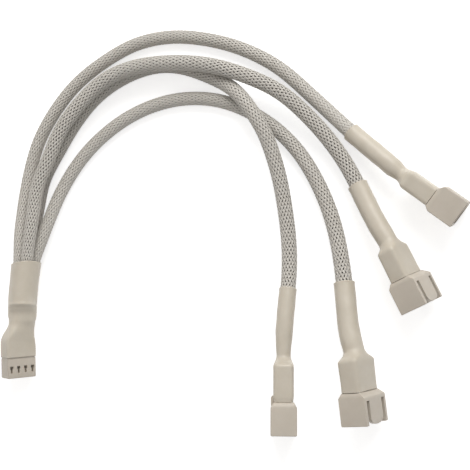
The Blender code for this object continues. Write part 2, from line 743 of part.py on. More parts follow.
def build_connector(leg, housing, pin, plastic, metal, cable):
    """The housing and pins at the end of a leg."""
    carrier = holder("outlet_" + leg.letter, leg.place, leg.turn, cable)
    link("outlet_" + leg.letter + "_housing", housing, plastic, carrier)
    for way in leg.pins:
        item = link("outlet_" + leg.letter + "_pin_" + str(way + 1), pin, metal, carrier)
        item.location = (0.0, pin_offset(way) * MM, 0.0)


# Trunk and socket end

def trunk_curve():
    """Dense centre line of the trunk, up to the rear face of the socket housing."""
    behind = [local_point(SOCKET_PLACE, SOCKET_TURN, -distance) for distance in (2.5, 1.0, 0.0)]
    return smooth_path(list(TRUNK_ROUTE) + [tuple(point) for point in behind])


def twisted_axes(points, twists):
    """Across and latch axes that lean from upright by a given angle at each point."""
    along = directions(points)
    upward = np.tile(np.array([0.0, 0.0, 1.0]), (len(points), 1))
    left = np.cross(upward, along)
    left /= np.linalg.norm(left, axis=1)[:, None]
    above = np.cross(along, left)
    angle = np.radians(twists)[:, None]
    across = left * np.cos(angle) - above * np.sin(angle)
    latch = above * np.cos(angle) + left * np.sin(angle)
    return across, latch


def build_trunk(material, cable):
    """The wide tubing that gathers the four legs and grips the socket housing."""
    curve = trunk_curve()
    total = path_length(curve)
    places = [row[0] / TRUNK_SECTIONS[-1][0] * (total - TRUNK_SHORT) for row in TRUNK_SECTIONS]
    sections = [row[1:] for row in TRUNK_SECTIONS]
    centres = list(points_at(curve, np.array(places)))
    cover = TRUNK_WALL + TRUNK_FIT
    half_width = SOCKET_TAIL_WIDTH / 2 + cover
    half_depth = SOCKET_TAIL_DEPTH / 2 + cover
    for along in (TRUNK_LAP_FROM, TRUNK_LAP):
        centres.append(local_point(SOCKET_PLACE, SOCKET_TURN, along))
        sections.append((half_width, half_depth, TAIL_SQUARENESS))
    centres = np.array(centres)
    count = len(centres)
    twists = np.interp(np.arange(count), (0, 4, count - 4, count - 1),
                       (TRUNK_TWIST[0], TRUNK_TWIST[0], TRUNK_TWIST[1], TRUNK_TWIST[1]))
    across, latch = twisted_axes(centres, twists)
    return shell("trunk_shrink", centres, across, latch, sections, TRUNK_WALL,
                 SECTION_SIDES + 4, material, cable)


def build_splice(material, cable):
    """The block where the legs' wires join the four wires of the socket."""
    curve = trunk_curve()
    begin = points_at(curve, np.array([LEG_START + SPLICE_GAP]))[0]
    finish_at = points_at(curve, np.array([LEG_START + SPLICE_GAP + SPLICE_LENGTH]))[0]
    across, latch = twisted_axes(np.array([begin, finish_at]), np.array([TRUNK_TWIST[0]] * 2))
    model = bmesh.new()
    rows = []
    for centre, part in ((begin, 1.0), (finish_at, SPLICE_TAPER)):
        first, second = ring(SPLICE_WIDTH / 2 * part, SPLICE_DEPTH / 2 * part, 2.0, 16)
        points = (centre + first[:, None] * across[0] + second[:, None] * latch[0]) * MM
        rows.append([model.verts.new(tuple(point)) for point in points])
    for index in range(16):
        beside = (index + 1) % 16
        model.faces.new((rows[0][index], rows[0][beside], rows[1][beside], rows[1][index]))
    model.faces.new(tuple(reversed(rows[0])))
    model.faces.new(tuple(rows[1]))
    bmesh.ops.recalc_face_normals(model, faces=model.faces)
    mesh = bpy.data.meshes.new("splice_block")
    model.to_mesh(mesh)
    model.free()
    link("splice_block", mesh, material, cable)
    return finish_at, across[1]


def build_socket(housing, terminal, plastic, metal, insulation, cable):
    """The socket housing, its contacts, and the wires that reach back to the splice."""
    carrier = holder("input", SOCKET_PLACE, SOCKET_TURN, cable)
    link("input_housing", housing, plastic, carrier)
    start, across = build_splice(plastic, cable)
    splice_end = LEG_START + SPLICE_GAP + SPLICE_LENGTH
    lead = directions(points_at(trunk_curve(), np.array([splice_end - 1.0, splice_end + 1.0])))[0]
    for way in range(WAYS):
        item = link("input_terminal_" + str(way + 1), terminal, metal, carrier)
        item.location = (0.0, pin_offset(way) * MM, 0.0)
        narrow = (way - (WAYS - 1) / 2) * INPUT_WIRE_PITCH
        points = [
            start + lead * END_GAP + across * narrow,
            start + lead * (END_GAP + WIRE_DIAMETER) + across * narrow]
        for share, along in INPUT_WIRE_FAN:
            side = narrow * (1 - share) + pin_offset(way) * share
            points.append(local_point(SOCKET_PLACE, SOCKET_TURN, along, side))
        wire("input_wire_" + str(way + 1), points, WIRE_DIAMETER, insulation, cable)


def main():
    """Build the whole cable."""
    clear_scene()
    cable = layout()
    plastic = finish("white_nylon", (0.62, 0.58, 0.52), 0.45)
    tubing = finish("white_heat_shrink", (0.64, 0.60, 0.54), 0.38)
    braid = finish("white_braid", (0.66, 0.64, 0.59), 0.6)
    metal = finish("tinned_metal", (0.72, 0.70, 0.66), 0.28, 1.0)
    wire_black = finish("wire_black", (0.03, 0.03, 0.03), 0.5)
    pin_housing = pin_housing_mesh("pin_housing", SHROUD_DEPTH, SHROUD_SHIFT)
    slim_housing = pin_housing_mesh("slim_pin_housing", SLIM_SHROUD_DEPTH, SLIM_SHROUD_SHIFT)
    socket_housing = socket_housing_mesh()
    header_pin = pin_mesh()
    contact = terminal_mesh()
    for leg in LEGS:
        curve = leg_curve(leg)
        build_sleeve(leg, curve, braid, cable)
        build_wires(leg, curve, wire_black, cable)
        build_leg_shrink(leg, curve, tubing, cable)
        housing = slim_housing if leg.letter == "d" else pin_housing
        build_connector(leg, housing, header_pin, plastic, metal, cable)
    build_trunk(tubing, cable)
    build_socket(socket_housing, contact, plastic, metal, wire_black, cable)


main()
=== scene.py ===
"""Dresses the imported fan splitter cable: braided legs, shrunk tubing, housings and contacts.

Lengths are metres, where nothing says millimetres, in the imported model's frame: the cable
lies on z = 0, +Y points from the connectors to the top of the arcs, and +X from the socket
end to the outlets.
"""
import logging
import math
from dataclasses import dataclass
from enum import Enum

import bmesh
import bpy
import numpy as np
from mathutils import Matrix, Vector


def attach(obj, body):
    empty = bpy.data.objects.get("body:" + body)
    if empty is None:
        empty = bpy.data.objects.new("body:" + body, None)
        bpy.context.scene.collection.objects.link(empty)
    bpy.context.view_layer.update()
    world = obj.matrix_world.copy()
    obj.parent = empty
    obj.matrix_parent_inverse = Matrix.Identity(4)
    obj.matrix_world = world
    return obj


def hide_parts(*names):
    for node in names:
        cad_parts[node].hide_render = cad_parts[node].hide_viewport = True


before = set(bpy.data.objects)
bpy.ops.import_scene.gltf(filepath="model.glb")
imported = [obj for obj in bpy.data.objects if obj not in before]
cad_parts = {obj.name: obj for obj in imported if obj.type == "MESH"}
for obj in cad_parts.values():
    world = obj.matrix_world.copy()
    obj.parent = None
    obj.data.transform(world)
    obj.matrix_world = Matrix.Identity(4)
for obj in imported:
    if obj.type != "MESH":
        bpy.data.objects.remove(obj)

LOG = logging.getLogger("cable")
MM = 0.001
BODY = "root"
Array = np.ndarray
Point = tuple[float, float, float]
Tone = tuple[float, float, float]
Node = bpy.types.Node
Socket = bpy.types.NodeSocket
Sockets = bpy.types.bpy_prop_collection
Tree = bpy.types.NodeTree
Object = bpy.types.Object
Material = bpy.types.Material

# Socket types of the shared node groups
VECTOR, COLOUR, NUMBER = "NodeSocketVector", "NodeSocketColor", "NodeSocketFloat"

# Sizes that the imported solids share
TAIL_WIDTH = 10.6 * MM
TAIL_DEPTH = 5.3 * MM
TAIL_LENGTH = 9.1 * MM
TAIL_END_LAP = 0.45 * MM
PIN_PITCH = 2.54 * MM
WAYS = 4
WIRE_DIAMETER = 1.2 * MM
WIRE_SIDES = 10
ROUND = 2.0
WIRE_SPREAD = 0.7 * MM
SHRINK_WALL = 0.45 * MM
SHRINK_COVER = 0.65 * MM
SHRINK_LENGTH = 34.4 * MM
SHRINK_LAP = 13.5 * MM
NECK_FROM = 6.8 * MM
NECK_LENGTH = 3.4 * MM
SPLICE_GAP = 0.4 * MM
SPLICE_LENGTH = 4.4 * MM
WIRE_GAP = 0.3 * MM
INPUT_WIRE_PITCH = 1.5 * MM
WIRE_FAN_START = 5.0 * MM
TRUNK_LENGTH_TO_CROTCH = 15.2 * MM


class Slot(Enum):
    """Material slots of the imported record."""

    NYLON = "white_nylon"
    TUBING = "white_heat_shrink"
    BRAID = "white_braid"
    METAL = "tinned_metal"
    INSULATION = "wire_black"


# Places and paths


def between(distances: Array, travel: Array, values: Array) -> Array:
    """Rows of values at distances along a line, on straight lines between its samples."""
    return np.stack([np.interp(distances, travel, values[:, k]) for k in range(3)], axis=-1)


def bell(step: float, spread: float, reach: int) -> Array:
    """Weights of a bell-shaped running mean, which add up to one."""
    weights = np.exp(-0.5 * (np.arange(-reach, reach + 1) * step / spread) ** 2)
    return weights / weights.sum()


def softened(values: Array, step: float, spread: float) -> Array:
    """A column of samples after a bell-shaped running mean, with its ends held."""
    reach = max(1, int(3 * spread / step))
    padded = np.concatenate((np.full(reach, values[0]), values, np.full(reach, values[-1])))
    return np.convolve(padded, bell(step, spread, reach), mode="valid")


def leaned(along: Array, angle: Array | float) -> tuple[Array, Array]:
    """Across and latch axes: sideways and upright, turned about the line by an angle."""
    left = np.cross(np.array([0.0, 0.0, 1.0]), along)
    left /= np.linalg.norm(left, axis=-1, keepdims=True)
    above = np.cross(along, left)
    return left * np.cos(angle) - above * np.sin(angle), above * np.cos(angle) + left * np.sin(angle)


@dataclass(frozen=True)
class Pose:
    """A connector's place: its rear face's centre in millimetres, and its turn in degrees."""

    place: Point
    heading: float
    pitch: float
    roll: float

    def axes(self) -> tuple[Array, Array, Array]:
        """Directions along it to the mouth, across its wide face, and to its latch side.

        Returns:
            Three unit vectors: heading and pitch give the first, and roll turns the others.
        """
        heading, pitch, roll = (math.radians(v) for v in (self.heading, self.pitch, self.roll))
        along = np.array([
            math.cos(heading) * math.cos(pitch), math.sin(heading) * math.cos(pitch), math.sin(pitch)])
        return along, *leaned(along, roll)

    def point(self, along: float, across: float = 0.0, latch: float = 0.0) -> Array:
        """A point given in the connector's own axes."""
        axes = self.axes()
        return np.array(self.place) * MM + axes[0] * along + axes[1] * across + axes[2] * latch


@dataclass(frozen=True)
class Path:
    """A dense centre line with its running distance."""

    points: Array
    travel: Array

    @classmethod
    def through(cls, spots: Array, step: float = 0.5 * MM, mean: float = 3.5 * MM) -> "Path":
        """A smooth line: a cubic Hermite span between each two knots, then a running mean.

        Args:
            spots: points of the route.
            step: distance between the samples.
            mean: spread of the bell-shaped weights of the running mean.

        Returns:
            The dense line.
        """
        chord = np.linalg.norm(np.diff(spots, axis=0), axis=1)
        marks = np.concatenate(([0.0], np.cumsum(chord)))
        slopes = np.gradient(spots, marks, axis=0)
        grid = np.arange(0.0, marks[-1], step)
        span = np.clip(np.searchsorted(marks, grid, side="right") - 1, 0, len(chord) - 1)
        width = chord[span][:, None]
        share = (grid - marks[span])[:, None] / width
        start, end = spots[span], spots[span + 1]
        first, last = slopes[span] * width, slopes[span + 1] * width
        line = ((2 * share**3 - 3 * share**2 + 1) * start + (share**3 - 2 * share**2 + share) * first
                + (3 * share**2 - 2 * share**3) * end + (share**3 - share**2) * last)
        line = np.vstack((line, spots[-1:]))
        reach = int(round(3 * mean / step))
        weights = bell(step, mean, reach)
        ahead = 2 * line[0] - line[reach:0:-1]
        behind = 2 * line[-1] - line[-2:-reach - 2:-1]
        padded = np.vstack((ahead, line, behind))
        return cls.of(np.stack([np.convolve(padded[:, k], weights, mode="valid") for k in range(3)], axis=1))

    @classmethod
    def of(cls, points: Array) -> "Path":
        """The line through dense points as they are."""
        steps = np.linalg.norm(np.diff(points, axis=0), axis=1)
        return cls(points, np.concatenate(([0.0], np.cumsum(steps))))

    @property
    def length(self) -> float:
        """Length of the line."""
        return float(self.travel[-1])

    def at(self, distances: Array) -> Array:
        """Points at given distances from the start, on straight lines between the samples."""
        return between(distances, self.travel, self.points)

    def stations(self, step: float) -> tuple[Array, Array]:
        """Even distances along the line, about a step apart, and the way it runs at each."""
        travel = np.linspace(0.0, self.length, max(3, int(self.length / step)))
        return travel, np.gradient(self.at(travel), axis=0)

    def extended(self, direction: Array, reach: float, count: int = 40) -> "Path":
        """The same line carried straight on from its end."""
        extra = self.points[-1] + np.arange(1, count + 1)[:, None] / count * reach * direction
        return Path.of(np.vstack((self.points, extra)))


@dataclass(frozen=True)
class Rail:
    """A path with its across and latch axes, as smooth functions of distance."""

    path: Path
    travel: Array
    across: Array
    latch: Array

    @classmethod
    def carried(cls, path: Path, last_across: Array, step: float = 1.0 * MM) -> "Rail":
        """Axes carried back from the end without twist.

        Args:
            path: the centre line.
            last_across: the across axis at its end.
            step: distance between the stations.

        Returns:
            The rail: at each station the last axis loses its part along the line.
        """
        travel, steps = path.stations(step)
        along = steps / np.linalg.norm(steps, axis=1)[:, None]
        across = np.zeros_like(along)
        current = np.array(last_across, dtype=float)
        for station in reversed(range(len(travel))):
            current = current - along[station] * np.dot(current, along[station])
            current = current / np.linalg.norm(current)
            across[station] = current
        return cls(path, travel, across, np.cross(along, across))

    @classmethod
    def leaning(cls, path: Path, distances: tuple[float, ...], leans: tuple[float, ...],
                step: float = 0.5 * MM, mean: float = 1.6 * MM) -> "Rail":
        """Axes that lean from upright by an angle that changes along the line.

        Args:
            path: the centre line.
            distances: where the angle is given.
            leans: the angle there, in degrees.
            step: distance between the stations.
            mean: spread of the running mean that steadies its direction.

        Returns:
            The rail: upright and sideways axes, turned about the line by the angle.
        """
        travel, steps = path.stations(step)
        steps = np.stack([softened(steps[:, k], step, mean) for k in range(3)], axis=-1)
        along = steps / np.linalg.norm(steps, axis=1)[:, None]
        return cls(path, travel, *leaned(along, np.radians(np.interp(travel, distances, leans))[:, None]))

    def frame_at(self, distances: Array) -> tuple[Array, Array, Array]:
        """Centres, across axes and latch axes at given distances."""
        across, latch = (between(distances, self.travel, axis) for axis in (self.across, self.latch))
        return self.path.at(distances), across, latch


# Surfaces


@dataclass
class Surface:
    """Points, four-cornered faces and a UV for each face corner."""

    points: Array
    faces: Array
    corners: Array

    @classmethod
    def grid(cls, points: Array, closed_rows: bool = False, v: Array | None = None) -> "Surface":
        """A grid of points, rows along the piece and columns all round it.

        Args:
            points: array of rows, columns and three coordinates.
            closed_rows: the last row joins the first one.
            v: UV value of each row; the row's number where it isn't given.

        Returns:
            The surface, with faces wound so that columns crossed with rows point outwards.
        """
        rows, columns = points.shape[:2]
        row = np.arange(rows if closed_rows else rows - 1)
        r, c = np.meshgrid(row, np.arange(columns), indexing="ij")
        corner_rows = np.stack((r, r, r + 1, r + 1), axis=-1).reshape(-1, 4)
        corner_columns = np.stack((c, c + 1, c + 1, c), axis=-1).reshape(-1, 4)
        faces = (corner_rows % rows) * columns + corner_columns % columns
        height = np.arange(rows, dtype=float) if v is None else np.asarray(v, dtype=float)
        height = np.append(height, 2 * height[-1] - height[-2])
        corners = np.stack((corner_columns / columns, height[corner_rows]), axis=-1)
        return cls(points.reshape(-1, 3), faces, corners)

    @staticmethod
    def cap(first: int, sides: int, turned: bool) -> Array:
        """Faces that close an end of an even number of sides: a fan of four-cornered faces."""
        step = np.arange(sides // 2 - 1)
        fan = np.stack((np.zeros_like(step), 2 * step + 1, 2 * step + 2, 2 * step + 3), axis=-1)
        fan = fan % sides + first
        return fan[:, ::-1] if turned else fan

    def closed(self, rows: int, columns: int) -> "Surface":
        """The same surface with a cap at each end of its rows."""
        ends = np.vstack((self.cap(0, columns, True), self.cap((rows - 1) * columns, columns, False)))
        blank = np.zeros((len(ends), 4, 2))
        return Surface(self.points, np.vstack((self.faces, ends)), np.concatenate((self.corners, blank)))

    @staticmethod
    def joined(parts: list["Surface"]) -> "Surface":
        """Several surfaces as one."""
        base = np.cumsum([0] + [len(part.points) for part in parts[:-1]])
        return Surface(
            np.vstack([part.points for part in parts]),
            np.vstack([part.faces + first for part, first in zip(parts, base)]),
            np.concatenate([part.corners for part in parts]))

    def mesh(self, name: str) -> bpy.types.Mesh:
        """The surface as a smooth mesh with a UV map."""
        mesh = bpy.data.meshes.new(name)
        mesh.vertices.add(len(self.points))
        mesh.vertices.foreach_set("co", self.points.astype(np.float32).ravel())
        count = len(self.faces)
        mesh.loops.add(count * 4)
        mesh.loops.foreach_set("vertex_index", self.faces.astype(np.int32).ravel())
        mesh.polygons.add(count)
        mesh.polygons.foreach_set("loop_start", np.arange(count, dtype=np.int32) * 4)
        mesh.polygons.foreach_set("use_smooth", np.ones(count, dtype=bool))
        mesh.update(calc_edges=True)
        layer = mesh.uv_layers.new(name="weave")
        layer.data.foreach_set("uv", self.corners.astype(np.float32).ravel())
        mesh.validate()
        return mesh


def smooth_step(values: Array, start: float, end: float) -> Array:
    """0 before start, 1 after end, and three shares squared less two cubed between them."""
    share = np.clip((values - start) / (end - start), 0.0, 1.0)
    return share * share * (3 - 2 * share)


def linked(name: str, data: bpy.types.ID) -> Object:
    """A new object in the scene."""
    item = bpy.data.objects.new(name, data)
    bpy.context.scene.collection.objects.link(item)
    return item


def piece(name: str, mesh: bpy.types.Mesh, material: Material,
          replaces: list[str]) -> Object:
    """Puts a finished mesh in the scene as a piece of the cable.

    Args:
        name: the piece's name.
        mesh: its mesh, in place.
        material: its finish.
        replaces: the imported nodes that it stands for.

    Returns:
        The object, which rides on the body.
    """
    mesh.materials.clear()
    mesh.materials.append(material)
    item = linked(name, mesh)
    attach(item, BODY)
    if replaces:
        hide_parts(*replaces)
    LOG.info("%s: %d faces", name, len(mesh.polygons))
    return item


def pin_offset(way: int) -> float:
    """How far a pin or contact lies across from its housing's middle."""
    return (way - (WAYS - 1) / 2) * PIN_PITCH


def round_tube(line: Array, last_across: Array, station: float) -> Surface:
    """A wire: a circle carried along a line, with closed ends.

    Args:
        line: points of the wire's middle.
        last_across: the across axis at its end.
        station: distance between the circles.

    Returns:
        The tube, whose UV runs along it in millimetres.
    """
    rail = Rail.carried(Path.of(line), last_across, station)
    angles = np.arange(WIRE_SIDES) * 2 * math.pi / WIRE_SIDES
    count = len(rail.travel)
    radius = np.full((count, 1), WIRE_DIAMETER / 2)
    points = lofted(rail.frame_at(rail.travel), angles, radius, radius, np.full(count, ROUND))
    return Surface.grid(points, v=rail.travel / MM).closed(count, WIRE_SIDES)


def out_and_back(count: int, wall: float, lip: tuple[float, ...]) -> tuple[Array, Array]:
    """The rows of a tube's skin: along its outside, round its far lip, back inside, round its near lip.

    Args:
        count: stations along the tube.
        wall: how far the inner side is drawn in.
        lip: how far each row of a lip is drawn in, from the outside inwards.

    Returns:
        Each row's station, and how far it is drawn in.
    """
    inset = np.array(lip)
    there, near = np.arange(count), np.zeros(len(lip), dtype=int)
    stations = np.concatenate((there, near + count - 1, there[::-1], near))
    return stations, np.concatenate((np.zeros(count), inset, np.full(count, wall), inset[::-1]))


def lofted(frames: tuple[Array, Array, Array], angles: Array, width: Array, depth: Array,
           power: Array) -> Array:
    """Points of superellipse sections, one row a section.

    Args:
        frames: the sections' centres, across axes and latch axes.
        angles: where the points lie round each section.
        width: half width at each point.
        depth: half depth at each point.
        power: squareness of each section; ROUND is an ellipse, and more is squarer.

    Returns:
        Half width times a signed power of the cosine, plus half depth times that of the sine.
    """
    centre, across, latch = frames
    part = 2.0 / power[:, None]
    cosine, sine = np.cos(angles)[None, :], np.sin(angles)[None, :]
    first = np.sign(cosine) * np.abs(cosine) ** part * width
    second = np.sign(sine) * np.abs(sine) ** part * depth
    return (centre[:, None, :] + first[:, :, None] * across[:, None, :]
            + second[:, :, None] * latch[:, None, :])


# Finishes


class Graph:
    """A node tree with short ways to add and feed nodes."""

    def __init__(self, tree: Tree) -> None:
        """Keeps the tree."""
        self.tree = tree

    def feed(self, target: Socket, value: object) -> None:
        """Gives an input a link from another socket, or a number or colour of its own."""
        if isinstance(value, Socket):
            self.tree.links.new(value, target)
        else:
            target.default_value = value

    def add(self, kind: str, inputs: dict[str | int, object] | None = None, **settings: object) -> Node:
        """A new node.

        Args:
            kind: the node's type.
            inputs: what feeds its inputs, by name or number.
            settings: the node's own settings.

        Returns:
            The node.
        """
        node = self.tree.nodes.new(kind)
        for key, value in settings.items():
            setattr(node, key, value)
        for key, value in (inputs or {}).items():
            self.feed(node.inputs[key], value)
        return node

    def math(self, kind: str, first: object, second: object = 0.0) -> Socket:
        """A Math node on two sockets or numbers."""
        return self.add("ShaderNodeMath", {0: first, 1: second}, operation=kind).outputs[0]

    def noise(self, vector: Socket, scale: Socket, detail: float, rough: float) -> Socket:
        """The value of a Noise texture."""
        return self.add("ShaderNodeTexNoise", {
            "Vector": vector, "Scale": scale, "Detail": detail, "Roughness": rough}).outputs[0]

    def mixed(self, share: Socket, first: object, second: object) -> Socket:
        """A colour between two sockets or colours."""
        return self.add("ShaderNodeMix", {0: share, 6: first, 7: second}, data_type="RGBA").outputs[2]

    def bump(self, height: Socket, strength: float, distance: float) -> Socket:
        """The normal that a height gives."""
        return self.add("ShaderNodeBump", {
            "Height": height, "Strength": strength, "Distance": distance}).outputs[0]


class MaterialGraph(Graph):
    """A new material with its graph and its Principled shader."""

    def __init__(self, name: str) -> None:
        """Makes the material."""
        self.material = bpy.data.materials.new(name)
        self.material.use_nodes = True
        super().__init__(self.material.node_tree)
        self.shader = self.tree.nodes["Principled BSDF"]

    def shade(self, inputs: dict[str, object]) -> None:
        """Feeds the shader's inputs by name."""
        for label, value in inputs.items():
            self.feed(self.shader.inputs[label], value)


def new_group(name: str, inputs: dict[str, str],
              outputs: dict[str, str]) -> tuple[Graph, Sockets, Sockets]:
    """A shader node group with named inputs and outputs, built once.

    Args:
        name: the group's name.
        inputs: socket type of each input by name.
        outputs: the same of each output.

    Returns:
        The group's graph, the sockets that give its inputs, and those that take its outputs.
    """
    tree = bpy.data.node_groups.new(name, "ShaderNodeTree")
    for side, sockets in (("INPUT", inputs), ("OUTPUT", outputs)):
        for label, kind in sockets.items():
            tree.interface.new_socket(name=label, in_out=side, socket_type=kind)
    graph = Graph(tree)
    return graph, graph.add("NodeGroupInput").outputs, graph.add("NodeGroupOutput").inputs


class SharedEffects:
    """The node groups that more than one finish uses."""

    def __init__(self) -> None:
        """Builds each group once."""
        self.drift = self.build_drift()
        self.grain = self.build_grain()
        self.handling = self.build_handling()
        self.filaments = self.build_filaments()

    def build_drift(self) -> Tree:
        """Colour drift: a slow noise carries the colour between two near tones."""
        graph, given, result = new_group(
            "colour_drift", {"Vector": VECTOR, "Tone": COLOUR, "Other Tone": COLOUR, "Scale": NUMBER},
            {"Color": COLOUR})
        value = graph.noise(given["Vector"], given["Scale"], 4.0, 0.6)
        share = graph.add("ShaderNodeMapRange", {"Value": value, "From Min": 0.32, "From Max": 0.68})
        tone = graph.mixed(share.outputs[0], given["Tone"], given["Other Tone"])
        graph.feed(result["Color"], tone)
        return graph.tree

    def build_grain(self) -> Tree:
        """Surface grain: a fine noise over a slower one, as a height."""
        graph, given, result = new_group(
            "surface_grain", {"Vector": VECTOR, "Scale": NUMBER, "Slow Share": NUMBER}, {"Height": NUMBER})
        fine = graph.noise(given["Vector"], given["Scale"], 2.0, 0.5)
        slow_scale = graph.math("MULTIPLY", given["Scale"], 0.09)
        slow = graph.noise(given["Vector"], slow_scale, 2.0, 0.5)
        slow = graph.math("MULTIPLY", slow, given["Slow Share"])
        graph.feed(result["Height"], graph.math("ADD", fine, slow))
        return graph.tree

    def build_handling(self) -> Tree:
        """Handling marks: a noise carries the roughness between a rubbed and a dull value."""
        graph, given, result = new_group(
            "handling_marks", {"Vector": VECTOR, "Scale": NUMBER, "Rubbed": NUMBER, "Dull": NUMBER},
            {"Roughness": NUMBER})
        value = graph.noise(given["Vector"], given["Scale"], 5.0, 0.65)
        spread = graph.add("ShaderNodeMapRange", {
            "Value": value, "From Min": 0.35, "From Max": 0.65,
            "To Min": given["Rubbed"], "To Max": given["Dull"]})
        graph.feed(result["Roughness"], spread.outputs[0])
        return graph.tree

    def build_filaments(self) -> Tree:
        """Filaments side by side: a sine of the UV's first value, as a height and a mask of the gaps, where
        the braid paints shade.
        """
        graph, given, result = new_group(
            "filament_lines", {"UV": VECTOR, "Count": NUMBER}, {"Height": NUMBER, "Gap": NUMBER})
        split = graph.add("ShaderNodeSeparateXYZ", {0: given["UV"]})
        turn = graph.math("MULTIPLY", split.outputs[0], given["Count"])
        wave = graph.math("ABSOLUTE", graph.math("SINE", graph.math("MULTIPLY", turn, math.pi)))
        graph.feed(result["Height"], wave)
        graph.feed(result["Gap"], graph.math("POWER", graph.math("SUBTRACT", 1.0, wave), 2.0))
        return graph.tree


@dataclass(frozen=True)
class Finish:
    """What every finish has: two near tones, and rubbed and dull patches."""

    name: str
    tone: Tone
    other: Tone
    drift_scale: float
    marks_scale: float
    rubbed: float
    dull: float

    def base(self, effects: SharedEffects) -> tuple[MaterialGraph, Node, Socket]:
        """A material with its roughness.

        Returns:
            Its graph, its texture coordinates, and the drifting colour.
        """
        graph = MaterialGraph(self.name)
        spot = graph.add("ShaderNodeTexCoord")
        drift = graph.add("ShaderNodeGroup", {
            "Vector": spot.outputs["Object"], "Tone": (*self.tone, 1.0), "Other Tone": (*self.other, 1.0),
            "Scale": self.drift_scale}, node_tree=effects.drift)
        marks = graph.add("ShaderNodeGroup", {
            "Vector": spot.outputs["Object"], "Scale": self.marks_scale, "Rubbed": self.rubbed,
            "Dull": self.dull}, node_tree=effects.handling)
        graph.shade({"Roughness": marks.outputs[0]})
        return graph, spot, drift.outputs[0]


@dataclass(frozen=True)
class SolidFinish(Finish):
    """Moulded or shrunk plastic, or plated metal: a grain, and a little light through plastic."""

    grain_scale: float
    slow_share: float
    grain_depth: float
    grain_strength: float = 0.6
    metallic: float = 0.0
    specular: float = 0.45
    glow: float = 0.0
    glow_radius: Tone = (1.0, 0.85, 0.7)
    glow_scale: float = 0.4 * MM

    def build(self, effects: SharedEffects) -> Material:
        """The material: drift to the colour, grain to the bump."""
        graph, spot, colour = self.base(effects)
        grain = graph.add("ShaderNodeGroup", {
            "Vector": spot.outputs["Object"], "Scale": self.grain_scale, "Slow Share": self.slow_share},
            node_tree=effects.grain)
        normal = graph.bump(grain.outputs[0], self.grain_strength, self.grain_depth)
        graph.shade({
            "Base Color": colour, "Normal": normal, "Metallic": self.metallic,
            "Specular IOR Level": self.specular, "Subsurface Weight": self.glow,
            "Subsurface Radius": self.glow_radius, "Subsurface Scale": self.glow_scale})
        return graph.material


@dataclass(frozen=True)
class BraidFinish(Finish):
    """Braid of flat filament bundles: painted shade in the lines between the filaments, and a sheen."""

    gap_shade_tone: Tone
    gap_shade_share: float
    filaments: float
    relief: float
    relief_strength: float
    sheen: float
    sheen_roughness: float

    def build(self, effects: SharedEffects) -> Material:
        """The material: drift and painted shade in the filament gaps to the colour, filaments to the bump."""
        graph, spot, colour = self.base(effects)
        lines = graph.add("ShaderNodeGroup", {"UV": spot.outputs["UV"], "Count": self.filaments},
                          node_tree=effects.filaments)
        # Painted shade: the colour darkens towards the gap tone in the grooves between filaments
        gap_shade = graph.math("MULTIPLY", lines.outputs["Gap"], self.gap_shade_share)
        graph.shade({
            "Base Color": graph.mixed(gap_shade, colour, (*self.gap_shade_tone, 1.0)),
            "Normal": graph.bump(lines.outputs["Height"], self.relief_strength, self.relief),
            "Sheen Weight": self.sheen, "Sheen Roughness": self.sheen_roughness})
        return graph.material


class Finishes:
    """Every finish of the cable as a material."""

    def __init__(self) -> None:
        """Builds the shared effects and then the materials."""
        effects = SharedEffects()
        self.nylon = SolidFinish(
            "moulded_nylon", (0.585, 0.53, 0.455), (0.555, 0.50, 0.425), drift_scale=260.0, marks_scale=598.0,
            rubbed=0.36, dull=0.5, grain_scale=5200.0, slow_share=0.8, grain_depth=0.02 * MM,
            glow=0.12).build(effects)
        self.tubing = SolidFinish(
            "shrunk_tubing", (0.625, 0.572, 0.485), (0.59, 0.535, 0.445), drift_scale=210.0,
            marks_scale=483.0, rubbed=0.3, dull=0.46, grain_scale=3600.0, slow_share=2.2,
            grain_depth=0.03 * MM, glow=0.15).build(effects)
        # The braid's darker gap tone is painted shade in the grooves between its filaments
        self.braid = BraidFinish(
            "filament_braid", (0.67, 0.65, 0.605), (0.60, 0.57, 0.52), drift_scale=900.0, marks_scale=1500.0,
            rubbed=0.42, dull=0.58, gap_shade_tone=(0.43, 0.38, 0.325), gap_shade_share=0.7, filaments=8.0,
            relief=0.03 * MM, relief_strength=0.7, sheen=0.15, sheen_roughness=0.5).build(effects)
        self.insulation = SolidFinish(
            "wire_insulation", (0.10, 0.066, 0.052), (0.13, 0.088, 0.07), drift_scale=400.0,
            marks_scale=920.0, rubbed=0.4, dull=0.55, grain_scale=4000.0, slow_share=1.0,
            grain_depth=0.02 * MM).build(effects)
        self.tin = SolidFinish(
            "tin_plating", (0.74, 0.72, 0.68), (0.62, 0.60, 0.56), drift_scale=1400.0, marks_scale=2600.0,
            rubbed=0.2, dull=0.36, grain_scale=9000.0, slow_share=0.5, grain_depth=0.01 * MM,
            grain_strength=0.3, metallic=1.0, specular=0.5).build(effects)


# The legs


@dataclass(frozen=True)
class Weave:
    """A diamond braid: how many bundles turn each way, and a bundle's own section.

    The section's points are shares of the bundle's width and thickness.
    """

    bundles: int = 14
    turn_rate: float = 187.6
    thickness: float = 0.16 * MM
    lift: float = 0.1 * MM
    steepness: float = 1.7
    samples: int = 3
    aside: tuple[float, ...] = (-0.5, -0.27, 0.27, 0.5, 0.27, -0.27)
    proud: tuple[float, ...] = (0.0, 0.5, 0.5, 0.0, -0.5, -0.5)

    @property
    def row(self) -> float:
        """Distance along the leg between two rings of crossings."""
        return math.pi / (self.bundles * self.turn_rate)

    @property
    def sunk(self) -> float:
        """How far a bundle's middle lies inside the sleeve's radius, midway between its crossings."""
        return self.lift + self.thickness / 2


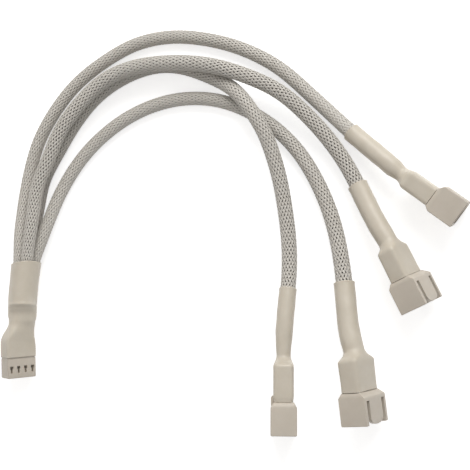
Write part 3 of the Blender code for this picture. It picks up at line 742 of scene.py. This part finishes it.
@dataclass(frozen=True)
class LegPlan:
    """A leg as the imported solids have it. Its lengths are millimetres, and its pins count from 0.

    Girth is the sleeve's radius past the trunk, widths its bundles' widths, and grip its
    radius in the tubing. Tube gives the tubing's radii over the bare wires and at the neck,
    swell how loose it is over the tail, tuck how far its end is drawn in, lead how much
    sooner its neck comes, and extra how much longer it is.
    """

    letter: str
    knots: tuple[Point, ...]
    diameter: float
    grip: float
    girth: tuple[float, ...]
    widths: tuple[float, ...]
    tube: tuple[float, float]
    pins: tuple[int, ...]
    pose: Pose
    swell: float = 0.0
    tuck: float = 0.0
    lead: float = 0.0
    extra: float = 0.0


LEGS = (
    LegPlan(
        "a", knots=(
            (-74.39, -7.66, 7.32), (-73.79, 7.24, 7.22), (-74.19, 15.14, 6.52), (-74.49, 24.64, 4.12),
            (-73.59, 36.34, 2.62), (-69.39, 52.44, 2.52), (-64.29, 61.54, 2.52), (-56.49, 71.24, 2.52),
            (-45.79, 79.14, 2.52), (-34.89, 84.64, 2.52), (-21.99, 86.54, 2.52), (-9.39, 84.84, 2.52),
            (3.81, 80.44, 2.52), (15.31, 73.84, 2.52), (29.31, 60.54, 2.62), (41.51, 47.84, 4.52),
            (52.91, 36.74, 7.52),
        ), diameter=5.0, grip=2.5, girth=(2.3, 2.35, 2.5, 2.65), widths=(0.7, 0.7, 0.66, 0.66, 0.8, 1.02),
        tube=(3.1, 2.45), pins=(0, 1, 2, 3), pose=Pose((59.77, 30.39, 8.28), -38.0, -1.84, 77.6), extra=0.9),
    LegPlan(
        "b", knots=(
            (-70.99, -7.96, 9.82), (-69.99, 6.74, 9.62), (-69.49, 14.44, 9.52), (-68.49, 23.54, 9.02),
            (-67.19, 34.54, 8.62), (-64.29, 41.24, 8.52), (-60.49, 51.44, 8.52), (-52.09, 63.04, 8.52),
            (-42.99, 70.94, 8.52), (-34.49, 73.94, 8.62), (-19.99, 74.84, 8.92), (-6.09, 72.94, 9.22),
            (7.01, 68.44, 8.12), (15.81, 64.14, 6.82), (28.71, 52.14, 5.52), (38.21, 39.24, 5.12),
            (45.71, 23.74, 6.82), (49.01, 16.44, 8.22),
        ), diameter=5.5, grip=2.65, girth=(2.5, 2.65, 2.65, 2.65), widths=(0.57, 0.59, 0.7, 0.64, 0.62, 0.62),
        tube=(3.3, 3.2), pins=(0, 1, 3), pose=Pose((53.96, 7.43, 9.47), -65.05, -4.16, 62.6)),
    LegPlan(
        "c", knots=(
            (-70.49, -7.56, 5.42), (-69.39, 7.34, 5.32), (-67.59, 12.94, 4.92), (-65.79, 18.64, 4.42),
            (-63.89, 24.34, 3.72), (-61.99, 30.14, 2.92), (-59.39, 35.44, 2.52), (-53.39, 44.44, 2.52),
            (-46.49, 51.44, 2.52), (-32.79, 60.04, 2.52), (-18.29, 63.64, 2.52), (-4.99, 62.54, 2.52),
            (7.71, 57.04, 2.52), (18.51, 48.44, 2.62), (24.01, 41.74, 2.62), (29.31, 32.34, 2.72),
            (32.81, 23.94, 2.82), (35.61, 13.94, 3.22), (37.08, 5.58, 4.42), (37.55, 2.24, 4.82),
            (38.2, -4.39, 5.92), (38.78, -10.96, 7.32), (39.57, -19.01, 8.72),
        ), diameter=5.0, grip=2.75, girth=(2.3, 2.4, 2.7, 2.8), widths=(0.72, 0.7, 0.72, 0.72, 0.7, 0.68),
        tube=(3.5, 3.35), pins=(0, 1, 3), pose=Pose((41.61, -27.39, 9.65), -84.5, -4.76, 64.0),
        swell=0.45, extra=0.6),
    LegPlan(
        "d", knots=(
            (-73.99, -7.36, 3.12), (-72.89, 7.74, 3.02), (-71.69, 15.44, 2.62), (-69.69, 24.74, 2.52),
            (-67.39, 37.54, 2.62), (-63.09, 45.54, 2.62), (-56.39, 57.04, 2.62), (-48.59, 66.34, 2.62),
            (-36.79, 73.54, 2.62), (-29.19, 75.84, 2.62), (-21.89, 76.14, 2.62), (-15.39, 74.54, 2.72),
            (-9.19, 71.84, 3.12), (-3.59, 68.74, 4.32), (2.01, 64.54, 6.72), (7.81, 56.84, 8.22),
            (11.91, 50.04, 7.72), (14.71, 42.34, 6.32), (17.01, 33.54, 4.82), (18.61, 23.14, 3.62),
            (19.71, 12.94, 3.22), (19.91, 2.69, 3.82), (19.58, -3.32, 5.02), (19.1, -8.96, 6.02),
            (18.64, -14.53, 6.72), (18.22, -21.96, 7.22),
        ), diameter=5.3, grip=2.2, girth=(2.4, 2.6, 2.6, 2.4), widths=(0.72, 0.72, 0.76, 0.72, 0.68, 0.68),
        tube=(2.5, 2.3), pins=(0, 1, 3), pose=Pose((18.21, -31.06, 7.38), -90.5, 0.0, 98.0),
        tuck=0.35, lead=2.0, extra=2.3),
)

# The sleeve's radius in the trunk, in millimetres, and the shares of its length where radii
# and bundles' widths are given
TRUNK_GIRTH = (2.05, 2.05, 2.22)
SLEEVE_SHARES = (0.0, 0.075, 0.11, 0.24, 0.55, 0.9, 1.0)
WIDTH_SHARES = (0.0, 0.3, 0.5, 0.68, 0.86, 1.0)

# Where a leg's wires lie in its sleeve, by their number, as shares of WIRE_SPREAD
WIRE_PLACES = {
    4: ((-1.0, -1.0), (-1.0, 1.0), (1.0, 1.0), (1.0, -1.0)),
    3: ((-1.1, -0.65), (0.0, 1.25), (1.1, -0.65)),
}

# How far the wires have spread, and the millimetres past the housing's rear face where they have
WIRE_FAN = ((0.0, -3.9), (0.08, -3.0), (0.28, -2.3), (0.66, -1.3), (1.0, -0.4), (1.0, 1.2))
INPUT_WIRE_FAN = ((0.14, -4.0), (0.66, -2.0), (1.0, -0.7), (1.0, 1.2))

# Millimetres past the tail's rear face, share of the way from neck to tail, and squareness
TUBE_SHOULDER = ((-2.6, 0.18, 2.1), (-1.6, 0.52, 2.6), (-1.0, 0.86, 3.6), (-0.5, 1.0, 6.0))

# Height share, turns to a millimetre, lobes round the tube and phase share of the skin's waves
SKIN_WAVES = ((1.0, 0.61, 2, 1.0), (0.7, 1.13, -3, 2.1))


class BraidedLeg:
    """One leg: its braided sleeve, the wires in it and the tubing that ends it."""

    weave = Weave()
    approach = 2.5 * MM
    stations = 120
    wire_station = 1.3 * MM
    mouth_flare = 0.1 * MM
    mouth_length = 0.6 * MM
    sleeve_cover = 0.3 * MM
    tail_round = 1.5 * MM
    tube_step = 0.3 * MM
    tube_soft = 0.35 * MM
    tube_sides = 56
    lip = (0.02 * MM, 0.1 * MM, 0.3 * MM, 0.42 * MM)
    lip_bulge = (0.0, 0.06 * MM, 0.06 * MM, 0.0)
    wave_height = 0.025 * MM
    wave_rise = 1.5 * MM
    tail_calm = 0.85
    tail_edge = (-1.5 * MM, 0.5 * MM)

    def __init__(self, plan: LegPlan) -> None:
        """Lays the leg's centre line.

        Args:
            plan: the leg's route, sizes and connector.
        """
        self.plan = plan
        route = np.array(plan.knots) * MM
        self.path = Path.through(np.vstack((route, plan.pose.point(-self.approach), plan.pose.point(0.0))))
        along, across, _ = plan.pose.axes()
        self.rail = Rail.carried(self.path.extended(along, TAIL_LENGTH), across)
        self.total = self.path.length
        self.tube_start = self.total - (SHRINK_LENGTH - TAIL_LENGTH) - plan.extra * MM
        self.sleeve_end = self.tube_start + SHRINK_LAP

    def radius_at(self, distances: Array) -> Array:
        """The sleeve's radius: narrow in the trunk, then as the leg's own girth says."""
        values = np.array((*TRUNK_GIRTH, *self.plan.girth)) * MM
        return np.interp(distances / self.sleeve_end, SLEEVE_SHARES, values)

    def ribbons(self, hand: float) -> Surface:
        """All bundles that turn one way, as flat ribbons that pass over and under the others.

        A bundle's turn grows evenly along the leg, and its height over the sleeve's radius
        is a steepened cosine of the distance, so that rings of crossings alternate. The
        ribbon's width lies square to its run, and its section is a flat oval of six points.

        Args:
            hand: +1 or -1, the way that the bundles turn.

        Returns:
            The ribbons, with closed ends.
        """
        weave = self.weave
        step = weave.row / weave.samples
        run = np.arange(int((self.sleeve_end - step) / step)) * step
        base = self.radius_at(run) - weave.sunk
        lean = np.arctan(base * weave.turn_rate)
        width = np.interp(run / self.sleeve_end, WIDTH_SHARES, self.plan.widths) * MM
        wave = np.cos(np.pi * run / weave.row)
        lift = hand * weave.lift * np.tanh(weave.steepness * wave) / math.tanh(weave.steepness)
        aside = np.array(weave.aside)[None, :] * width[:, None]
        proud = np.array(weave.proud)[None, :] * weave.thickness
        place = run[:, None] - hand * aside * np.sin(lean)[:, None]
        turn = (hand * weave.turn_rate * run)[:, None] + aside * np.cos(lean)[:, None] / base[:, None]
        height = self.radius_at(place) - weave.sunk + lift[:, None] + proud
        centre, across, latch = self.rail.frame_at(place)
        parts = []
        for start in np.arange(weave.bundles) * 2 * math.pi / weave.bundles:
            angle = (turn + start)[:, :, None]
            points = centre + height[:, :, None] * (np.cos(angle) * across + np.sin(angle) * latch)
            parts.append(Surface.grid(points, v=run / MM).closed(*points.shape[:2]))
        return Surface.joined(parts)

    def sleeve(self, material: Material) -> Object:
        """The braid, from inside the trunk to inside the leg's tubing."""
        both = Surface.joined([self.ribbons(1.0), self.ribbons(-1.0)])
        name = f"leg_{self.plan.letter}_braid"
        return piece(name, both.mesh(name), material, [f"leg_{self.plan.letter}_sleeve"])

    def wires(self, material: Material) -> Object:
        """The wires: round tubes side by side in the sleeve, which spread into the row of pins."""
        plan = self.plan
        run = np.linspace(SPLICE_GAP, self.total - WIRE_FAN_START, self.stations)
        centre, across, latch = self.rail.frame_at(run)
        parts = []
        for way, place in zip(plan.pins, WIRE_PLACES[len(plan.pins)]):
            side, up = (share * WIRE_SPREAD for share in place)
            fan = [plan.pose.point(ahead * MM, side * (1 - share) + pin_offset(way) * share, up * (1 - share))
                   for share, ahead in WIRE_FAN]
            line = np.vstack((centre + across * side + latch * up, fan))
            parts.append(round_tube(line, plan.pose.axes()[1], self.wire_station))
        name = f"leg_{plan.letter}_wires"
        nodes = [f"leg_{plan.letter}_wire_{way + 1}" for way in plan.pins]
        return piece(name, Surface.joined(parts).mesh(name), material, nodes)

    def tube_rows(self) -> Array:
        """Distance, half width, half depth and squareness at places along the tubing."""
        plan = self.plan
        bare, neck = (radius * MM for radius in plan.tube)
        grip, swell, tuck, back = (length * MM for length in (plan.grip, plan.swell, plan.tuck, plan.lead))
        start, total = self.tube_start, self.total
        radius = grip + SHRINK_COVER
        half_width = TAIL_WIDTH / 2 + SHRINK_COVER
        half_depth = TAIL_DEPTH / 2 + SHRINK_COVER
        rows = [
            (start, radius + self.mouth_flare, radius + self.mouth_flare, ROUND),
            (start + self.mouth_length, radius, radius, ROUND),
            (self.sleeve_end + self.sleeve_cover, radius, radius, ROUND),
            (total - NECK_FROM - back, bare, bare, ROUND),
            (total - NECK_LENGTH - back, neck, neck, ROUND)]
        for place, part, power in TUBE_SHOULDER:
            rows.append((total + place * MM - back, neck + (half_width - neck) * part + swell * part,
                         neck + (half_depth - neck) * part + swell * part, power))
        for place, loose, power in ((TAIL_LENGTH - self.tail_round, swell / 2, 7.0),
                                    (TAIL_LENGTH, swell / 2 - tuck, 8.0),
                                    (TAIL_LENGTH + TAIL_END_LAP, swell / 2 - tuck, 8.0)):
            rows.append((total + place, half_width + loose, half_depth + loose, power))
        return np.array(rows)

    def unevenness(self, place: Array, angles: Array) -> Array:
        """The skin's low waves: sines of distance and angle, calm at the mouth and over the tail."""
        phase = ord(self.plan.letter)
        skin = sum(height * np.sin(place[:, None] / MM * turns + lobes * angles[None, :] + share * phase)
                   for height, turns, lobes, share in SKIN_WAVES) * self.wave_height
        calm = smooth_step(place - self.total, *self.tail_edge) * self.tail_calm
        rise = smooth_step(place - self.tube_start, 0.0, self.wave_rise)
        return skin * ((1 - calm) * rise)[:, None]

    def tubing(self, material: Material) -> Object:
        """The shrunk tubing over the sleeve's end, the wires and the housing's tail.

        Its section is a superellipse that goes from round to nearly square, drawn in by the
        wall on the inside, with a rounded lip at each end.
        """
        rows = self.tube_rows()
        start, end = rows[0, 0], rows[-1, 0]
        run = np.linspace(start, end, int((end - start) / self.tube_step))
        width, depth, power = (softened(np.interp(run, rows[:, 0], column), self.tube_step, self.tube_soft)
                               for column in rows.T[1:])
        order, drawn = out_and_back(len(run), SHRINK_WALL, self.lip)
        still, bulge = np.zeros(len(run)), np.array(self.lip_bulge)
        place = run[order] + np.concatenate((still, bulge, still, -bulge))
        angles = (np.arange(self.tube_sides) + 0.5) * 2 * math.pi / self.tube_sides
        skin = self.unevenness(place, angles)
        points = lofted(self.rail.frame_at(place), angles, (width[order] - drawn)[:, None] + skin,
                        (depth[order] - drawn)[:, None] + skin, power[order])
        name = f"leg_{self.plan.letter}_tubing"
        mesh = Surface.grid(points, closed_rows=True, v=place / MM).mesh(name)
        return piece(name, mesh, material, [f"leg_{self.plan.letter}_shrink"])

    def build(self, finishes: Finishes, shells: dict[str, list[Object]]) -> None:
        """Args:
            finishes: the cable's materials.
            shells: the pieces of each outlet's housing by its letter; not used.
        """
        sleeve = self.sleeve(finishes.braid)
        wires = self.wires(finishes.insulation)
        tubing = self.tubing(finishes.tubing)
        leaves = self.path.at(np.array([TRUNK_LENGTH_TO_CROTCH]))[0]
        line = self.path.at(np.linspace(0.0, self.sleeve_end, self.stations))


# The trunk and the socket end


class Trunk:
    """The wide tubing that gathers the legs and grips the socket housing, and the wires in it.

    A mark is a place along the tubing, counted from the mouth. It is about a millimetre, so
    that the last section lies just behind the housing. The sections give mark, half width
    and half depth in millimetres, and squareness.
    """

    pose = Pose((-73.29, -19.91, 7.19), -90.0, -7.3, 49.0)
    knots = (
        (-71.59, 7.07, 6.32), (-71.91, 3.77, 6.32), (-72.15, -0.75, 6.42), (-72.52, -5.94, 6.52),
        (-72.28, -11.11, 6.72), (-71.76, -14.04, 6.92), (-72.23, -16.26, 7.02), (-72.56, -17.97, 7.12),
    )
    approach = (2.5 * MM, 1.0 * MM, 0.0)
    sections = (
        (0.0, 5.15, 6.5, 2.0), (0.5, 5.05, 6.4, 2.0), (6.0, 4.85, 6.3, 2.0), (12.0, 4.85, 6.3, 2.0),
        (15.9, 4.85, 6.3, 2.0), (16.7, 4.85, 5.9, 2.0), (18.0, 4.85, 5.35, 2.0), (19.4, 4.85, 4.75, 2.1),
        (21.1, 4.35, 4.0, 2.2), (22.9, 4.25, 3.4, 2.4), (25.4, 4.65, 3.05, 4.0), (27.4, 5.1, 2.97, 9.0))
    socket_gap = 0.7 * MM
    grip_from = 0.8 * MM
    grip = (5.3 * MM, 2.95 * MM, 14.0)
    lap = 5.4 * MM
    wall = 0.3 * MM
    lip = (0.02 * MM, 0.1 * MM, 0.2 * MM, 0.28 * MM)
    leans = (24.0, 49.0)
    lean_rows = (4, 10)
    step = 0.25 * MM
    softness = (0.3 * MM, 0.4 * MM, 1.0 * MM)
    sides = 80
    mouth_inner = -66.8 * MM
    mouth_outer = -76.4 * MM
    mouth_fade = 5.0
    cut_outer = 1.3 * MM
    cut_inner = -0.3 * MM
    upper_lean = 0.35
    upper_edge = (0.15, 0.75)
    lobe_height = 0.09 * MM
    lobe_turn = 0.6
    lobe_fade = (12.0, 15.5)
    ridge_height = 0.16 * MM
    ridge_mark = 15.6
    ridge_spread = 0.6
    hollow_depth = 0.3 * MM
    hollow_steps = ((15.8, 16.9), (16.9, 18.6))
    hollow_end = (18.8, 21.6)
    wave_height = 0.05 * MM
    wave_turns = 0.9
    wave_lobes = 2
    wave_rise = (16.0, 19.0)
    wave_fade = (24.0, 27.0)
    wire_station = 0.8 * MM

    @classmethod
    def centre_line(cls) -> Path:
        """The trunk's centre line, up to the rear face of the socket housing."""
        behind = [cls.pose.point(-place) for place in cls.approach]
        return Path.through(np.vstack((np.array(cls.knots) * MM, behind)))

    def mouth_cut(self, sideways: Array, mark: Array) -> Array:
        """How far the mouth's rim is drawn back, since the tubing is cut a little askew.

        Args:
            sideways: the points' x.
            mark: their marks.

        Returns:
            The outer side's cut at the outer side, evenly less across to the inner side's, and
            fading with the mark.
        """
        share = np.clip((self.mouth_inner - sideways) / (self.mouth_inner - self.mouth_outer), 0.0, 1.0)
        cut = self.cut_inner + (self.cut_outer - self.cut_inner) * share
        return cut * (1 - smooth_step(mark, 0.0, self.mouth_fade))

    def relief(self, mark: Array, angles: Array, facing: Array) -> Array:
        """What stands over the sections: the sleeves' lobes, the ridge at their ends and a hollow.

        Args:
            mark: each row's mark.
            angles: where the points lie round each row.
            facing: which way each point faces.

        Returns:
            Each point's height. The ridge and the hollow are there on the upper side only.
        """
        upward = smooth_step(facing[:, :, 2] + self.upper_lean * facing[:, :, 0], *self.upper_edge)
        lobes = self.lobe_height * np.cos(len(LEGS) * angles - self.lobe_turn)[None, :] * (
            1 - smooth_step(mark, *self.lobe_fade))
        ridge = self.ridge_height * np.exp(-((mark - self.ridge_mark) / self.ridge_spread) ** 2)
        hollow = self.hollow_depth * sum(smooth_step(mark, *edge) for edge in self.hollow_steps) * (
            1 - smooth_step(mark, *self.hollow_end))
        waves = self.wave_height * np.sin(mark * self.wave_turns + self.wave_lobes * angles[None, :]) * (
            smooth_step(mark, *self.wave_rise) * (1 - smooth_step(mark, *self.wave_fade)))
        return lobes + (ridge - hollow) * upward + waves

    def tubing(self, material: Material) -> Object:
        """The tubing, from its mouth round the sleeves to its grip on the housing's tail."""
        path = self.centre_line()
        total = path.length
        scale = (total - self.socket_gap) / self.sections[-1][0]
        rows = [(mark * scale, width * MM, depth * MM, power) for mark, width, depth, power in self.sections]
        table = np.array(rows + [(total + self.grip_from, *self.grip), (total + self.lap, *self.grip)])
        rail = Rail.leaning(path.extended(self.pose.axes()[0], self.lap),
                            tuple(table[row, 0] for row in self.lean_rows), self.leans)
        run = np.linspace(0.0, total + self.lap, int((total + self.lap) / self.step))
        width, depth, power = (softened(np.interp(run, table[:, 0], column), self.step, spread)
                               for column, spread in zip(table.T[1:], self.softness))
        order, drawn = out_and_back(len(run), self.wall, self.lip)
        place = run[order]
        angles = (np.arange(self.sides) + 0.5) * 2 * math.pi / self.sides
        centre, across, latch = rail.frame_at(place)
        facing = (np.cos(angles)[None, :, None] * across[:, None, :]
                  + np.sin(angles)[None, :, None] * latch[:, None, :])
        mark = place[:, None] / scale
        skin = self.relief(mark, angles, facing)
        points = lofted((centre, across, latch), angles, (width[order] - drawn)[:, None] + skin,
                        (depth[order] - drawn)[:, None] + skin, power[order])
        points[:, :, 1] -= self.mouth_cut(points[:, :, 0], mark)
        mesh = Surface.grid(points, closed_rows=True, v=place / MM).mesh("trunk_tubing")
        return piece("trunk_tubing", mesh, material, ["trunk_shrink"])

    def wires(self, material: Material) -> Object:
        """The short wires from the splice block's end, which fan out into the row of contacts."""
        block_end = TRUNK_LENGTH_TO_CROTCH + SPLICE_GAP + SPLICE_LENGTH
        start, beyond = self.centre_line().at(np.array([block_end, block_end + MM]))
        lead = (beyond - start) / np.linalg.norm(beyond - start)
        across, _ = leaned(lead, math.radians(self.leans[0]))
        parts = []
        for way in range(WAYS):
            narrow = (way - (WAYS - 1) / 2) * INPUT_WIRE_PITCH
            line = [start + lead * ahead + across * narrow for ahead in (WIRE_GAP, WIRE_GAP + WIRE_DIAMETER)]
            line += [self.pose.point(ahead * MM, narrow * (1 - share) + pin_offset(way) * share)
                     for share, ahead in INPUT_WIRE_FAN]
            parts.append(round_tube(np.array(line), self.pose.axes()[1], self.wire_station))
        nodes = [f"input_wire_{way + 1}" for way in range(WAYS)]
        mesh = Surface.joined(parts).mesh("input_wires")
        return piece("input_wires", mesh, material, nodes)

    def build(self, finishes: Finishes) -> None:
        """Builds the tubing and the wires."""
        self.tubing(finishes.tubing)
        self.wires(finishes.insulation)


@dataclass(frozen=True)
class Housings:
    """The moulded housings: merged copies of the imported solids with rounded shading."""

    merge_distance: float = 0.002 * MM
    flat_angle: float = math.radians(1.0)
    sharp_angle: float = math.radians(50)
    foot_places: tuple[float, ...] = (7.0 * MM, 7.6 * MM, 10.3 * MM)
    foot_heights: tuple[float, ...] = (3.7 * MM, 4.02 * MM, 4.02 * MM)
    foot_root: float = -2.9 * MM
    foot_width: float = 6.4 * MM
    foot_rounding: float = 0.22 * MM

    def rounded_copy(self, node: str, name: str, material: Material) -> Object:
        """A packed housing as one smooth-shaded mesh, whose chamfers read as round edges.

        Args:
            node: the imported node.
            name: the new piece's name.
            material: its finish.

        Returns:
            The piece, which stands for the node.
        """
        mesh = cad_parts[node].data.copy()
        mesh.name = name
        model = bmesh.new()
        model.from_mesh(mesh)
        bmesh.ops.remove_doubles(model, verts=model.verts, dist=self.merge_distance)
        bmesh.ops.dissolve_limit(model, angle_limit=self.flat_angle, verts=model.verts, edges=model.edges)
        bmesh.ops.triangulate(model, faces=model.faces)
        for face in model.faces:
            face.smooth = True
        for edge in model.edges:
            edge.smooth = len(edge.link_faces) == 2 and edge.calc_face_angle(math.pi) < self.sharp_angle
        model.to_mesh(mesh)
        model.free()
        item = piece(name, mesh, material, [node])
        self.weigh_normals(item, True)
        return item

    def weigh_normals(self, item: Object, keep_sharp: bool) -> None:
        """Shades large faces flat, so that only the narrow faces between them look round."""
        weights = item.modifiers.new("flat_faces_first", "WEIGHTED_NORMAL")
        weights.keep_sharp = keep_sharp
        weights.weight = 100

    def guide_foot(self, pose: Pose, material: Material) -> Object:
        """The slim outlet's guide, where it stands proud behind the shroud.

        It is a block of four columns and three rows, whose first row is lower, so that its
        back slopes down to the tubing. A bevel rounds its edges.

        Args:
            pose: the outlet's place.
            material: its finish.

        Returns:
            The piece.
        """
        rows = []
        for place, proud in zip(self.foot_places, self.foot_heights):
            corners = ((0.5, -proud), (0.5, self.foot_root), (-0.5, self.foot_root), (-0.5, -proud))
            rows.append([pose.point(place, side * self.foot_width, height) for side, height in corners])
        name = "outlet_d_guide_foot"
        mesh = Surface.grid(np.array(rows)).closed(len(rows), len(rows[0])).mesh(name)
        item = piece(name, mesh, material, [])
        rounding = item.modifiers.new("rounding", "BEVEL")
        rounding.width = self.foot_rounding
        rounding.segments = 3
        self.weigh_normals(item, False)
        return item

    def build(self, finishes: Finishes) -> dict[str, list[Object]]:
        """Dresses the housings, the splice block and the contacts.

        Returns:
            The outlets' own pieces by letter.
        """
        nylon = finishes.nylon
        shells = {plan.letter: [self.rounded_copy(
            f"outlet_{plan.letter}_housing", f"outlet_{plan.letter}_shell", nylon)] for plan in LEGS}
        shells["d"].append(self.guide_foot(LEGS[-1].pose, nylon))
        self.rounded_copy("input_housing", "input_shell", nylon)
        for name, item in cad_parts.items():
            metal = "_pin_" in name or "_terminal_" in name
            if metal or name == "splice_block":
                item.data.materials.clear()
                item.data.materials.append(finishes.tin if metal else nylon)
        return shells


# The studio


class Studio:
    """Floor, light and camera."""

    camera_place = (0.062614, -0.032721, 0.314415)
    camera_target = (0.00161, 0.01494, 0.00392)
    lens = 73.04
    sensor = 36.0
    clip = (0.01, 20.0)
    floor_reach = 3.0
    floor_grey = 0.8
    floor_lift = 0.63
    plain_level = 0.45

    def floor(self) -> None:
        """A pale floor whose own light, for rays that the camera sees, lifts it to white."""
        mesh = bpy.data.meshes.new("floor")
        reach = self.floor_reach
        corners = [(-reach, -reach, 0), (reach, -reach, 0), (reach, reach, 0), (-reach, reach, 0)]
        mesh.from_pydata(corners, [], [(0, 1, 2, 3)])
        graph = MaterialGraph("pale_floor")
        graph.shade({
            "Base Color": (self.floor_grey, self.floor_grey, self.floor_grey, 1.0), "Roughness": 0.9,
            "Specular IOR Level": 0.0, "Emission Color": (1.0, 1.0, 1.0, 1.0),
            "Emission Strength": graph.math("MULTIPLY", self.seen_ray(graph), self.floor_lift)})
        mesh.materials.append(graph.material)
        linked("floor", mesh)

    def seen_ray(self, graph: Graph) -> Socket:
        """1 for rays that the camera sees directly, in a gloss or through glass, and 0 otherwise."""
        path = graph.add("ShaderNodeLightPath")
        seen = graph.math("MAXIMUM", path.outputs["Is Camera Ray"], path.outputs["Is Glossy Ray"])
        return graph.math("MAXIMUM", seen, path.outputs["Is Transmission Ray"])

    def world(self) -> None:
        """Even light from all sides, and white where the camera looks past the floor."""
        world = bpy.data.worlds.new("studio")
        bpy.context.scene.world = world
        world.use_nodes = True
        graph = Graph(world.node_tree)
        back = world.node_tree.nodes["Background"]
        extra = graph.math("MULTIPLY", self.seen_ray(graph), 1.0 - self.plain_level)
        graph.feed(back.inputs["Color"], (1.0, 1.0, 1.0, 1.0))
        graph.feed(back.inputs["Strength"], graph.math("ADD", extra, self.plain_level))

    def lamp(self, name: str, place: Point, size: float, power: float, tint: Tone) -> None:
        """A square lamp that faces the cable's middle."""
        data = bpy.data.lights.new(name, "AREA")
        data.size = size
        data.energy = power
        data.color = tint
        item = linked(name, data)
        away = Vector(place) - Vector(self.camera_target)
        item.location = place
        item.rotation_euler = away.to_track_quat("Z", "Y").to_euler()

    def camera(self) -> None:
        """The camera, upright in the photograph: the image's up is +Y."""
        data = bpy.data.cameras.new("view")
        data.lens = self.lens
        data.sensor_width = self.sensor
        data.clip_start, data.clip_end = self.clip
        item = linked("view", data)
        place = Vector(self.camera_place)
        back = (place - Vector(self.camera_target)).normalized()
        right = Vector((0.0, 1.0, 0.0)).cross(back).normalized()
        up = back.cross(right)
        item.matrix_world = Matrix((
            (right.x, up.x, back.x, place.x), (right.y, up.y, back.y, place.y),
            (right.z, up.z, back.z, place.z), (0.0, 0.0, 0.0, 1.0)))
        bpy.context.scene.camera = item

    def build(self) -> None:
        """Sets the whole studio up."""
        self.floor()
        self.world()
        self.lamp("key", place=(0.12, 0.52, 0.44), size=0.45, power=3.3, tint=(1.0, 0.985, 0.96))
        self.lamp("fill", place=(-0.5, -0.1, 0.5), size=0.5, power=0.28, tint=(1.0, 0.82, 0.68))
        self.camera()
        bpy.context.scene.view_settings.view_transform = "Standard"


def main() -> None:
    """Builds the cable and its studio."""
    logging.basicConfig(level=logging.INFO, format="%(message)s")
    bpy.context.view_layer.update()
    Studio().build()
    finishes = Finishes()
    shells = Housings().build(finishes)
    for plan in LEGS:
        BraidedLeg(plan).build(finishes, shells)
    Trunk().build(finishes)


if __name__ == "__main__":
    main()
